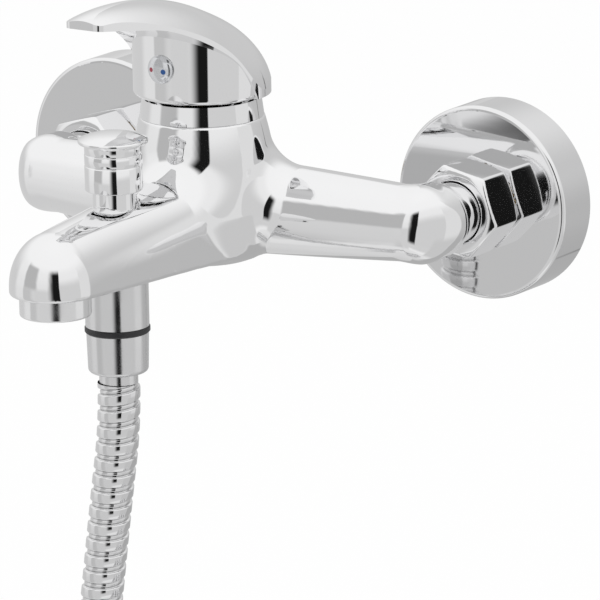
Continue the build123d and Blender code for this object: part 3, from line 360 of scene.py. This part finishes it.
def spout_distance(x, y, z):
    """Distance from the skin of the spout, arched above and flat below, with a round nose."""
    station = np.clip(y, nose_y, spout_held_y)
    half_width, bottom, spring, top = (np.polyval(curve, station) for curve in spout_curves)
    aside = np.where(y < nose_y, np.hypot(x, y - nose_y), np.abs(x))
    rise = np.maximum(z - spring, 0.0) / (top - spring)
    run = aside / half_width
    reach = np.hypot(run, rise) + 1e-9
    stretch = np.hypot(run / half_width, rise / (top - spring)) / reach
    spout = (reach - 1.0) / np.maximum(stretch, 1e-6)
    spout = trimmed(spout, bottom - z, spout_edge_round)
    return np.maximum(spout, y - spout_root_y)


def bored(solid, x, y, z, middle_y, low, high, radius):
    """The solid with an upright bore taken out of it."""
    hole = np.maximum(np.hypot(x, y - middle_y) - radius, np.maximum(low - z, z - high))
    return np.maximum(solid, -hole)


def body_distance(x, y, z):
    """Distance in millimetres from the skin of the casting, less than nothing inside it."""
    outward = np.abs(x)
    share = np.clip((z - hollow_low_z) / (hollow_high_z - hollow_low_z), 0.0, 1.0)
    arm_hollow = foot_hollow + arm_hollow_growth * share
    spout_hollow = foot_hollow + spout_hollow_growth * share
    skin = joined(tower_distance(x, y, z), arm_distance(outward, y, z), arm_hollow)
    skin = joined(skin, spout_distance(x, y, z), spout_hollow)
    for bore in bores:
        skin = bored(skin, x, y, z, *bore)
    way_ends = np.maximum(water_way_front_y - y, y - water_way_rear_y)
    water_way = np.maximum(np.hypot(x, z - water_way_z) - water_way_r, way_ends)
    inlet = np.maximum(np.hypot(outward - elbow_x, z) - inlet_r, inlet_end_y - y)
    return np.maximum(np.maximum(skin, -water_way), -inlet)


def new_piece(name, points, faces):
    """A smooth mesh object from points in metres and faces."""
    mesh = bpy.data.meshes.new(name)
    mesh.from_pydata([tuple(point) for point in points], [], [tuple(face) for face in faces])
    mesh.update()
    mesh.shade_smooth()
    piece = bpy.data.objects.new(name, mesh)
    bpy.context.scene.collection.objects.link(piece)
    return piece


def grown(name, distance, low, high, grain):
    """A solid from its distance field: a skin of small quads, each point drawn to the surface."""
    field_reach, probe, draws, least_steepness = 3.0, 0.02, 4, 0.2
    low = np.array(low)
    counts = np.ceil((np.array(high) - low) / grain).astype(int) + 1
    ticks = [low[axis] + grain * np.arange(counts[axis]) for axis in range(3)]
    field = distance(*np.meshgrid(*ticks, indexing="ij"))
    volume = openvdb.FloatGrid(background=field_reach)
    volume.copyFromArray(np.clip(field, -field_reach, field_reach).astype(np.float32))
    points, triangles, quads = volume.convertToPolygons(isovalue=0.0)
    points = points.astype(np.float64) * grain + low
    for _ in range(draws):
        x, y, z = points.T
        slope = np.stack([
            distance(x + probe, y, z) - distance(x - probe, y, z),
            distance(x, y + probe, z) - distance(x, y - probe, z),
            distance(x, y, z + probe) - distance(x, y, z - probe),
        ], axis=1) / (2 * probe)
        steepness = np.maximum((slope**2).sum(axis=1), least_steepness)
        move = -slope * (distance(x, y, z) / steepness)[:, None]
        length = np.linalg.norm(move, axis=1)
        points += move * np.minimum(1.0, 0.5 * grain / np.maximum(length, 1e-9))[:, None]
    faces = [tuple(face[::-1]) for face in quads] + [tuple(face[::-1]) for face in triangles]
    piece = new_piece(name, points * mm, faces)
    piece.data.validate()
    return piece


def plating(name, colour=(0.90, 0.90, 0.905), roughness=0.035, mark_size=60.0, mark_depth=0.02):
    """Chrome plating: a mirror with faint waves from the metal below and uneven polish."""
    material = bpy.data.materials.new(name)
    material.use_nodes = True
    tree = material.node_tree
    surface = tree.nodes["Principled BSDF"]
    surface.inputs["Metallic"].default_value = 1.0
    where = add_node(tree, "ShaderNodeTexCoord").outputs["Object"]
    haze = add_node(
        tree, "ShaderNodeTexNoise", [("Vector", where), ("Scale", mark_size), ("Detail", 3.0)]
    )
    brightest, dullest = roughness * 0.7, roughness * 1.5
    polish = add_node(
        tree, "ShaderNodeMapRange",
        [(0, haze.outputs[0]), (1, 0.35), (2, 0.65), (3, brightest), (4, dullest)],
    )
    tree.links.new(polish.outputs[0], surface.inputs["Roughness"])
    hazed = (*[channel * 0.985 for channel in colour], 1)
    shade = add_node(
        tree, "ShaderNodeMix", [(0, haze.outputs[0]), (6, hazed), (7, (*colour, 1))],
        data_type="RGBA",
    )
    tree.links.new(shade.outputs[2], surface.inputs["Base Color"])
    waves = add_node(
        tree, "ShaderNodeTexNoise",
        [("Vector", where), ("Scale", mark_size * 0.6), ("Detail", 1.0)],
    )
    bump = add_node(
        tree, "ShaderNodeBump",
        [("Strength", mark_depth), ("Distance", 0.002), ("Height", waves.outputs[0])],
    )
    tree.links.new(bump.outputs[0], surface.inputs["Normal"])
    return material


body = grown(
    "mixer_casting", body_distance,
    low=(-89.6, -168.0, -18.4), high=(90.0, -39.0, 34.0), grain=0.8,
)
body_plating = plating("body_plating", roughness=0.03, mark_size=45.0, mark_depth=0.03)
body.data.materials.append(body_plating)
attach(body, "mixer")
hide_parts("mixer_body")


# Cartridge: white plastic parts carry two lapped ceramic discs over three rubber port seals, and
# a steel pin holds the brass spindle in the rotor. A brass nut screws it all down in the tower.
def moulded(
    name, colour, roughness, metallic=0.0, mark_size=200.0, mark_depth=0.1, shade=0.9, rings=None
):
    """Plain finish with slight marks: uneven tone and gloss, and a fine grain or turning rings."""
    material = bpy.data.materials.new(name)
    material.use_nodes = True
    tree = material.node_tree
    surface = tree.nodes["Principled BSDF"]
    surface.inputs["Metallic"].default_value = metallic
    where = add_node(tree, "ShaderNodeTexCoord").outputs["Object"]
    grain = add_node(
        tree, "ShaderNodeTexNoise", [("Vector", where), ("Scale", mark_size), ("Detail", 4.0)]
    )
    shaded = (*[channel * shade for channel in colour], 1)
    tones = add_node(
        tree, "ShaderNodeMix", [(0, grain.outputs[0]), (6, shaded), (7, (*colour, 1))],
        data_type="RGBA",
    )
    tree.links.new(tones.outputs[2], surface.inputs["Base Color"])
    brightest, dullest = roughness * 0.85, min(1.0, roughness * 1.2)
    gloss = add_node(
        tree, "ShaderNodeMapRange",
        [(0, grain.outputs[0]), (1, 0.3), (2, 0.7), (3, brightest), (4, dullest)],
    )
    tree.links.new(gloss.outputs[0], surface.inputs["Roughness"])
    height = grain.outputs[0]
    if rings:
        marks = add_node(
            tree, "ShaderNodeTexWave", [("Vector", where), ("Scale", rings), ("Distortion", 0.4)],
            bands_direction="DIAGONAL",
        )
        height = marks.outputs[1]
    bump = add_node(
        tree, "ShaderNodeBump", [("Strength", mark_depth), ("Distance", 0.0003), ("Height", height)]
    )
    tree.links.new(bump.outputs[0], surface.inputs["Normal"])
    return material


def finish_nodes(material, *names):
    """Give carried-over CAD nodes their own finish."""
    for name in names:
        mesh = nodes[name].data
        mesh.materials.clear()
        mesh.materials.append(material)


cartridge_plastic = moulded(
    "cartridge_plastic", (0.84, 0.84, 0.81), 0.38, mark_size=500.0, shade=0.95
)
finish_nodes(cartridge_plastic, "cartridge_housing", "cartridge_base", "disc_carrier", "rotor")
ceramic = moulded(
    "lapped_ceramic", (0.90, 0.89, 0.85), 0.12, mark_size=1500.0, mark_depth=0.04, shade=0.98
)
finish_nodes(ceramic, "fixed_ceramic_disc", "moving_ceramic_disc")
rubber = moulded(
    "seal_rubber", (0.022, 0.022, 0.024), 0.42, mark_size=900.0, mark_depth=0.3, shade=0.7
)
finish_nodes(rubber, "port_seals")
steel = moulded(
    "stainless_steel", (0.60, 0.60, 0.60), 0.25, metallic=1.0, mark_size=800.0, mark_depth=0.08
)
finish_nodes(steel, "pivot_pin")
brass = moulded(
    "turned_brass", (0.74, 0.55, 0.27), 0.22, metallic=1.0, mark_size=300.0, mark_depth=0.15,
    rings=900.0,
)
finish_nodes(brass, "cartridge_nut", "lever_spindle")


# Trim ring: brass turned to a shallow dome and chromed. It screws down over the cartridge's nut
# and stands on the tower's top, close under the lever's hub.
turned_plating = plating("turned_plating", roughness=0.03, mark_size=120.0)
finish_nodes(turned_plating, "dome_ring")


def soften_edges(width, *names):
    """Break the sharp edges of carried-over CAD nodes."""
    for name in names:
        bevel = nodes[name].modifiers.new("broken_edges", "BEVEL")
        bevel.width = width * mm
        bevel.segments = 3
        bevel.limit_method = "ANGLE"
        bevel.angle_limit = math.radians(35.0)
        bevel.harden_normals = True


turned_edge = 0.3
soften_edges(turned_edge, "dome_ring")


# Lever: cast zinc, polished and chromed, with a thin blade over a round hub. A steel grub screw
# behind the index plug fixes it on the spindle.
lever_edge = 0.6
lever_plating = plating("lever_plating", roughness=0.03, mark_size=40.0, mark_depth=0.03)
finish_nodes(lever_plating, "lever_handle")
soften_edges(lever_edge, "lever_handle")
finish_nodes(steel, "grub_screw")


# Index plug: a small grey cap with a clear coat, domed and pressed into the hub over the screw.
# It has a red mark for hot on the left and a blue mark for cold on the right.
hub_r = 22.5
plug_centre_z = 51.0
plug_cap_r, plug_stem_r, plug_stem_depth = 4.8, 3.85, 2.6
plug_sides, plug_standoff = 64, 0.02

# Radius of each ring of the plug and how far it stands out of the hub, or None where it follows
# the hub's curve
plug_profile = (
    (0.0, 2.1), (1.2, 2.06), (2.3, 1.92), (3.2, 1.7), (3.9, 1.42), (4.4, 1.1), (4.68, 0.8),
    (plug_cap_r, 0.5), (plug_cap_r, None), (plug_stem_r, None),
    (plug_stem_r, -plug_stem_depth), (0.0, -plug_stem_depth),
)
plug_points, plug_faces, plug_rings = [], [], []
for radius, stand in plug_profile:
    plug_rings.append(len(plug_points))
    for side in range(plug_sides):
        angle = side * 2 * math.pi / plug_sides
        x, z = radius * math.cos(angle), radius * math.sin(angle)
        if stand is None:
            y = tower_y - math.sqrt(hub_r**2 - x**2) + plug_standoff
        else:
            y = tower_y - hub_r - stand
        plug_points.append((x * mm, y * mm, (plug_centre_z + z) * mm))
for ring, next_ring in zip(plug_rings, plug_rings[1:]):
    for side in range(plug_sides):
        after = (side + 1) % plug_sides
        plug_faces.append((ring + side, next_ring + side, next_ring + after, ring + after))
plug = new_piece("index_cap", plug_points, plug_faces)
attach(plug, "lever")
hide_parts("index_plug")

# Each mark's place across and up, its radius and its colour
index_marks = (
    (-2.6, 51.0, 0.85, (0.34, 0.03, 0.06, 1)),
    (2.2, 50.7, 0.95, (0.01, 0.09, 0.32, 1)),
)
mark_edge = 0.15
plug_finish = moulded(
    "plug_finish", (0.76, 0.77, 0.79), 0.07, metallic=0.85, mark_size=60.0, mark_depth=0.02
)
tree = plug_finish.node_tree
surface = tree.nodes["Principled BSDF"]
surface.inputs["Coat Weight"].default_value = 1.0
surface.inputs["Coat Roughness"].default_value = 0.03
base = surface.inputs["Base Color"].links[0].from_socket
where = add_node(tree, "ShaderNodeTexCoord").outputs["Object"]
for mark_x, mark_z, mark_r, mark_colour in index_marks:
    away = add_node(
        tree, "ShaderNodeVectorMath", [(0, where), (1, (mark_x * mm, 0.0, mark_z * mm))],
        operation="SUBTRACT",
    ).outputs[0]
    flattened = add_node(
        tree, "ShaderNodeVectorMath", [(0, away), (1, (1, 0, 1))], operation="MULTIPLY"
    ).outputs[0]
    distance = add_node(
        tree, "ShaderNodeVectorMath", [(0, flattened)], operation="LENGTH"
    ).outputs[1]
    inside = add_node(
        tree, "ShaderNodeMapRange",
        [(0, distance), (1, mark_r * mm), (2, (mark_r - mark_edge) * mm)],
    ).outputs[0]
    base = add_node(
        tree, "ShaderNodeMix", [(0, inside), (6, base), (7, mark_colour)], data_type="RGBA"
    ).outputs[2]
tree.links.new(base, surface.inputs["Base Color"])
plug.data.materials.append(plug_finish)


# Diverter's works: a turned and chromed sleeve screws into the spout and guides a brass rod. The
# rod carries a rubber valve at its foot.
finish_nodes(turned_plating, "diverter_bonnet")
finish_nodes(brass, "diverter_rod")
finish_nodes(rubber, "diverter_valve")


# Return spring: stainless wire wound round the diverter's rod. It stands between the rod's collar
# and the top of the sleeve.
spring = bpy.data.objects.new("return_spring", nodes["diverter_spring"].data.copy())
bpy.context.scene.collection.objects.link(spring)
spring.data.materials.clear()
spring.data.materials.append(steel)
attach(spring, "mixer")
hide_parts("diverter_spring")
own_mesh(spring)


# Diverter knob: a turned and chromed cap that is pulled up by its wide head. Two fine grooves run
# round it, and it is hollow over the sleeve.
knob_groove_heights = (25.0, 28.8)
knob_groove = ((9.45, -0.36), (9.38, -0.28), (9.1, -0.12), (9.1, 0.12), (9.38, 0.28), (9.45, 0.36))
lathe_sides = 96


def lathe_turned(name, x, y, profile):
    """A solid of revolution about an upright axis, from radii and heights in millimetres."""
    points, faces, rows = [], [], []
    for radius, height in profile:
        if radius == 0.0:
            rows.append([len(points)] * lathe_sides)
            points.append((x * mm, y * mm, height * mm))
            continue
        rows.append(range(len(points), len(points) + lathe_sides))
        for side in range(lathe_sides):
            angle = side * 2 * math.pi / lathe_sides
            out_x, out_y = x + radius * math.cos(angle), y + radius * math.sin(angle)
            points.append((out_x * mm, out_y * mm, height * mm))
    for lower, upper in zip(rows, rows[1:]):
        for side in range(lathe_sides):
            after = (side + 1) % lathe_sides
            corners = [lower[side], lower[after], upper[after], upper[side]]
            faces.append(tuple(dict.fromkeys(corners)))
    return new_piece(name, points, faces)


def rounded_edge(centre_r, centre_z, radius, start, end, steps):
    """Points of a turned edge's round, by angle up from straight out."""
    angles = [math.radians(start + (end - start) * step / steps) for step in range(steps + 1)]
    return [
        (centre_r + radius * math.cos(angle), centre_z + radius * math.sin(angle))
        for angle in angles
    ]


# Radius and height of each point, from the rod's hole down the bore, up the outside and over the
# head
knob_profile = [(2.5, 31.8), (2.5, 29.7), (7.67, 29.7), (7.67, 16.8), (7.8, 16.6), (9.2, 16.6)]
knob_profile += rounded_edge(9.15, 16.9, radius=0.3, start=-90, end=0, steps=3)
for groove_z in knob_groove_heights:
    knob_profile += [(radius, groove_z + along) for radius, along in knob_groove]
knob_profile += [(9.45, 31.2), (9.5, 31.5), (9.7, 31.75), (10.1, 31.9), (10.6, 31.98)]
knob_profile += rounded_edge(10.7, 32.78, radius=0.8, start=-80, end=70, steps=9)
knob_profile += [
    (10.2, 33.88), (9.2, 34.25), (8.0, 34.6), (6.5, 34.92), (4.8, 35.16), (3.0, 35.3),
    (1.4, 35.36), (0.0, 35.38),
]
knob = lathe_turned("diverter_cap", 0.0, diverter_y, knob_profile)
knob.data.materials.append(turned_plating)
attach(knob, "diverter")
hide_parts("diverter_knob")


# Aerator: a turned brass ring, plated a little duller, screws into the spout's nose. It holds a
# grey plastic mesh insert up against a rubber washer.
soft_plating = plating("soft_plating", roughness=0.16, mark_size=90.0)
finish_nodes(soft_plating, "aerator_ring")
soften_edges(turned_edge, "aerator_ring")
mesh_plastic = moulded(
    "aerator_plastic", (0.74, 0.76, 0.78), 0.32, mark_size=700.0, shade=0.93
)
finish_nodes(mesh_plastic, "aerator_insert")
finish_nodes(rubber, "aerator_washer")


# Shower outlet: a turned brass tube with a satin plating, screwed into the spout's underside. The
# black rubber washer in its end is the only one that shows.
satin_plating = plating(
    "satin_plating", (0.79, 0.79, 0.795), roughness=0.2, mark_size=90.0, mark_depth=0.01
)
finish_nodes(satin_plating, "shower_outlet")
soften_edges(turned_edge, "shower_outlet")
finish_nodes(rubber, "outlet_washer")


# Wall connections: brass unions screwed into the wall's pipes, turned nipples screwed into the
# elbows, bright where they show, and rubber washers between the two.
finish_nodes(brass, "hot_wall_union", "cold_wall_union")
finish_nodes(turned_plating, "hot_inlet_nipple", "cold_inlet_nipple")
finish_nodes(rubber, "hot_union_washer", "cold_union_washer")


# Roses: deep cups pressed from brass sheet and chromed. They slide over the unions against the
# wall and hide the pipes.
rose_plating = plating(
    "rose_plating", (0.86, 0.86, 0.865), roughness=0.03, mark_size=30.0, mark_depth=0.05
)
finish_nodes(rose_plating, "hot_rose", "cold_rose")


# Union nuts: forged brass hexagons with turned chamfers at both ends, chromed and spun hand tight
# behind the nipples' flanges. Each stopped at its own angle.
nut_plating = plating("nut_plating", roughness=0.03, mark_size=80.0)

# Half the width over the flats, the ends, the bore and the lip that holds the flange, how the
# flats swell, the slopes of the chamfers, and how far each edge is rounded
nut_half_flats, nut_face_r = 14.3, 13.3
nut_front_y, nut_rear_y = -32.4, -16.8
nut_middle_y, nut_floor_y = -24.5, -28.5
nut_bore_r, nut_lip_r = 13.25, 10.6
nut_crown_round, nut_crown_along = 0.004, 0.0025
front_chamfer_run, front_chamfer_rise = 0.5, 0.866
rear_chamfer_run, rear_chamfer_rise = 0.46, 0.89
nut_corner_round, nut_front_round, nut_rear_chamfer_round = 0.6, 0.4, 0.3
nut_rear_round, nut_lip_round = 0.2, 0.25
nut_room, nut_far_inside = 18.0, -50.0


def nut_distance(nut_x, nut_turn, x, y, z):
    """Distance from the skin of a union nut whose flats are turned by an angle."""
    from_axis = np.hypot(x - nut_x, z)
    nut = np.full(np.shape(x), nut_far_inside)
    for facet in range(3):
        angle = math.radians(nut_turn + 30.0 + 60.0 * facet)
        flat = np.abs((x - nut_x) * math.cos(angle) + z * math.sin(angle)) - nut_half_flats
        aside = (x - nut_x) * -math.sin(angle) + z * math.cos(angle)
        flat = flat + nut_crown_round * aside**2 + nut_crown_along * (y - nut_middle_y) ** 2
        nut = trimmed(nut, flat, nut_corner_round)
    past_face = from_axis - nut_face_r
    front = past_face * front_chamfer_run + (nut_front_y - y) * front_chamfer_rise
    rear = past_face * rear_chamfer_run + (y - nut_rear_y) * rear_chamfer_rise
    nut = trimmed(trimmed(nut, front, nut_front_round), rear, nut_rear_chamfer_round)
    nut = trimmed(nut, nut_front_y - y, nut_front_round)
    nut = trimmed(nut, y - nut_rear_y, nut_rear_round)
    nut = trimmed(nut, nut_lip_r - from_axis, nut_lip_round)
    return np.maximum(nut, -np.maximum(from_axis - nut_bore_r, nut_floor_y - y))


for name, nut_x, nut_turn in (("hot", -elbow_x, 16.0), ("cold", elbow_x, 48.0)):
    nut = grown(
        f"{name}_hexagon_nut", partial(nut_distance, nut_x, nut_turn),
        low=(nut_x - nut_room, -34.5, -nut_room), high=(nut_x + nut_room, -15.5, nut_room),
        grain=0.45,
    )
    nut.data.materials.append(nut_plating)
    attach(nut, "mixer")
    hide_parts(f"{name}_union_nut")


# Shower hose: a chromed steel strip wound into a tube whose turns lock into each other. It hangs
# from the outlet, and the rest of its 1.5 m is put away in a coil that a soft tie holds.

# The line down the hose's middle: a drop that drifts to the side, the coil, and a free end
hose_start = Vector((0.0, diverter_y, -47.8))
hose_route = [
    (0.0, -14.0), (-4.2, -40.0), (-8.2, -68.0), (-13.2, -103.0), (-18.3, -133.0), (-22.0, -157.0),
]
coil_entry_x, coil_entry_z = -22.0, -174.5
coil_r, coil_turns, coil_pitch = 70.0, 3, 15.2
coil_end_points = (16.0, 40.0)
points_per_turn = 16
hose_control = [hose_start] + [hose_start + Vector((x, 0.0, z)) for x, z in hose_route]
coil_centre = hose_start + Vector((coil_entry_x + coil_r, 0.0, coil_entry_z))
coil_control_r = coil_r / math.cos(math.pi / points_per_turn)
for step in range(coil_turns * points_per_turn):
    angle = (step + 0.5) * 2 * math.pi / points_per_turn
    hose_control.append(coil_centre + Vector((
        -coil_control_r * math.cos(angle),
        coil_pitch * angle / (2 * math.pi),
        -coil_control_r * math.sin(angle),
    )))
coil_last = coil_centre + Vector((-coil_r, coil_pitch * coil_turns, 0.0))
hose_control += [coil_last + Vector((0, 0, -drop)) for drop in coil_end_points]
hose_line = bpy.data.curves.new("hose_line", "CURVE")
hose_line.dimensions = "3D"
spline = hose_line.splines.new("NURBS")
spline.points.add(len(hose_control) - 1)
for point, where in zip(spline.points, hose_control):
    point.co = (*(where * mm), 1.0)
spline.order_u = 3
spline.use_endpoint_u = True
spline.resolution_u = 24
line_object = bpy.data.objects.new("hose_line", hose_line)
bpy.context.scene.collection.objects.link(line_object)
line_mesh = bpy.data.meshes.new_from_object(line_object)
hose_path = np.array([vertex.co[:] for vertex in line_mesh.vertices])
bpy.data.objects.remove(line_object)
bpy.data.meshes.remove(line_mesh)


def along_path(path):
    """Running length of a path, and frames that turn with it without twisting."""
    steps = np.linalg.norm(np.diff(path, axis=0), axis=1)
    running = np.concatenate([[0.0], np.cumsum(steps)])
    ways = np.gradient(path, running, axis=0)
    ways /= np.linalg.norm(ways, axis=1)[:, None]
    across = np.zeros_like(path)
    across[0] = np.cross(ways[0], (0.0, 1.0, 0.0))
    across[0] /= np.linalg.norm(across[0])
    for step in range(1, len(path)):
        turned = across[step - 1] - ways[step] * np.dot(across[step - 1], ways[step])
        across[step] = turned / np.linalg.norm(turned)
    return running, ways, across


# Place along one turn of the strip, and how far that edge of the profile lies from the line
strip_pitch = 5.6
strip_profile = (
    (0.00, 5.60), (0.03, 6.10), (0.16, 6.28), (0.29, 6.10), (0.31, 5.75), (0.34, 6.60),
    (0.37, 6.95), (0.42, 7.00), (0.90, 7.00), (0.95, 6.85), (0.98, 6.40),
)
hose_sides = 28
running, ways, across = along_path(hose_path)
upright = np.cross(ways, across)
hose_length = running[-1]
first_turn = -1
last_turn = int(hose_length / (strip_pitch * mm)) + 1
hose_points = []
for turn in range(first_turn, last_turn + 1):
    for share, radius in strip_profile:
        for side in range(hose_sides):
            place = (turn + share + side / hose_sides) * strip_pitch * mm
            place = min(max(place, 0.0), hose_length)
            hose_points.append((place, side * 2 * math.pi / hose_sides, radius * mm))
hose_points = np.array(hose_points)
hose_places = hose_points[:, 0]
hose_turns, hose_radii = hose_points[:, 1:2], hose_points[:, 2:3]


def at_places(values):
    """Values along the line, read where each point of the strip is."""
    columns = [np.interp(hose_places, running, values[:, axis]) for axis in range(3)]
    return np.stack(columns, axis=1)


outward = np.cos(hose_turns) * at_places(across) + np.sin(hose_turns) * at_places(upright)
hose_surface = at_places(hose_path) + hose_radii * outward

# The strip's edges run on from each turn's last side to the next turn's first. Faces that the
# hose's ends have squeezed to nothing are left out.
rows = (last_turn - first_turn + 1) * len(strip_profile)
least_spread = 1e-7
hose_faces = []
for row in range(rows - 1):
    for side in range(hose_sides):
        here = row * hose_sides + side
        if side < hose_sides - 1:
            beside, beside_next = here + 1, here + 1 + hose_sides
        elif row + 1 + len(strip_profile) < rows:
            beside = (row + len(strip_profile)) * hose_sides
            beside_next = (row + 1 + len(strip_profile)) * hose_sides
        else:
            continue
        corners = (here, beside, beside_next, here + hose_sides)
        spread = hose_places[list(corners)]
        if spread.max() - spread.min() > least_spread:
            hose_faces.append(corners)
hose = new_piece("shower_hose_strip", hose_surface, hose_faces)
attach(hose, "mixer")
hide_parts("shower_hose", "hose_coil")

# Painted shade darkens the grooves: all of it at their floor, none from just under the
# strip's edge out
groove_shade_floor_r, groove_shade_top_r, groove_shade_most = 5.65, 6.25, 0.9
groove_shade_colour = (0.05, 0.05, 0.05, 1)
hose_plating = plating("hose_plating", (0.83, 0.83, 0.835), roughness=0.06, mark_size=300.0)
hose.data.materials.append(hose_plating)
outward_values = hose.data.attributes.new("outward", "FLOAT", "POINT").data
outward_values.foreach_set("value", hose_points[:, 2] / mm)
tree = hose_plating.node_tree
surface = tree.nodes["Principled BSDF"]
radius_here = add_node(tree, "ShaderNodeAttribute", attribute_name="outward").outputs["Fac"]
# Painted shade in the grooves: the plating's colour goes darker toward each groove's floor
groove_shade = add_node(
    tree, "ShaderNodeMapRange",
    [(0, radius_here), (1, groove_shade_floor_r), (2, groove_shade_top_r), (3, groove_shade_most), (4, 0.0)],
).outputs[0]
unshaded = surface.inputs["Base Color"].links[0].from_socket
groove_shaded = add_node(
    tree, "ShaderNodeMix", [(0, groove_shade), (6, unshaded), (7, groove_shade_colour)], data_type="RGBA"
).outputs[2]
tree.links.new(groove_shaded, surface.inputs["Base Color"])


# Hose ends: brass ferrules rolled onto the hose, which carry the turned nuts, both satin plated.
# Rubber seals lie in the nuts.
finish_nodes(satin_plating, "hose_nut", "hose_ferrule", "handset_nut", "handset_ferrule")
soften_edges(turned_edge, "hose_nut", "hose_ferrule", "handset_nut")
finish_nodes(rubber, "hose_seal", "handset_seal")


# Hose tie: a soft grey plastic band with a matt skin. It is wrapped round the passes of the
# coil and keeps them together.
tie_plastic = moulded("tie_plastic", (0.50, 0.51, 0.53), 0.55, mark_size=350.0, mark_depth=0.25)
finish_nodes(tie_plastic, "hose_tie")
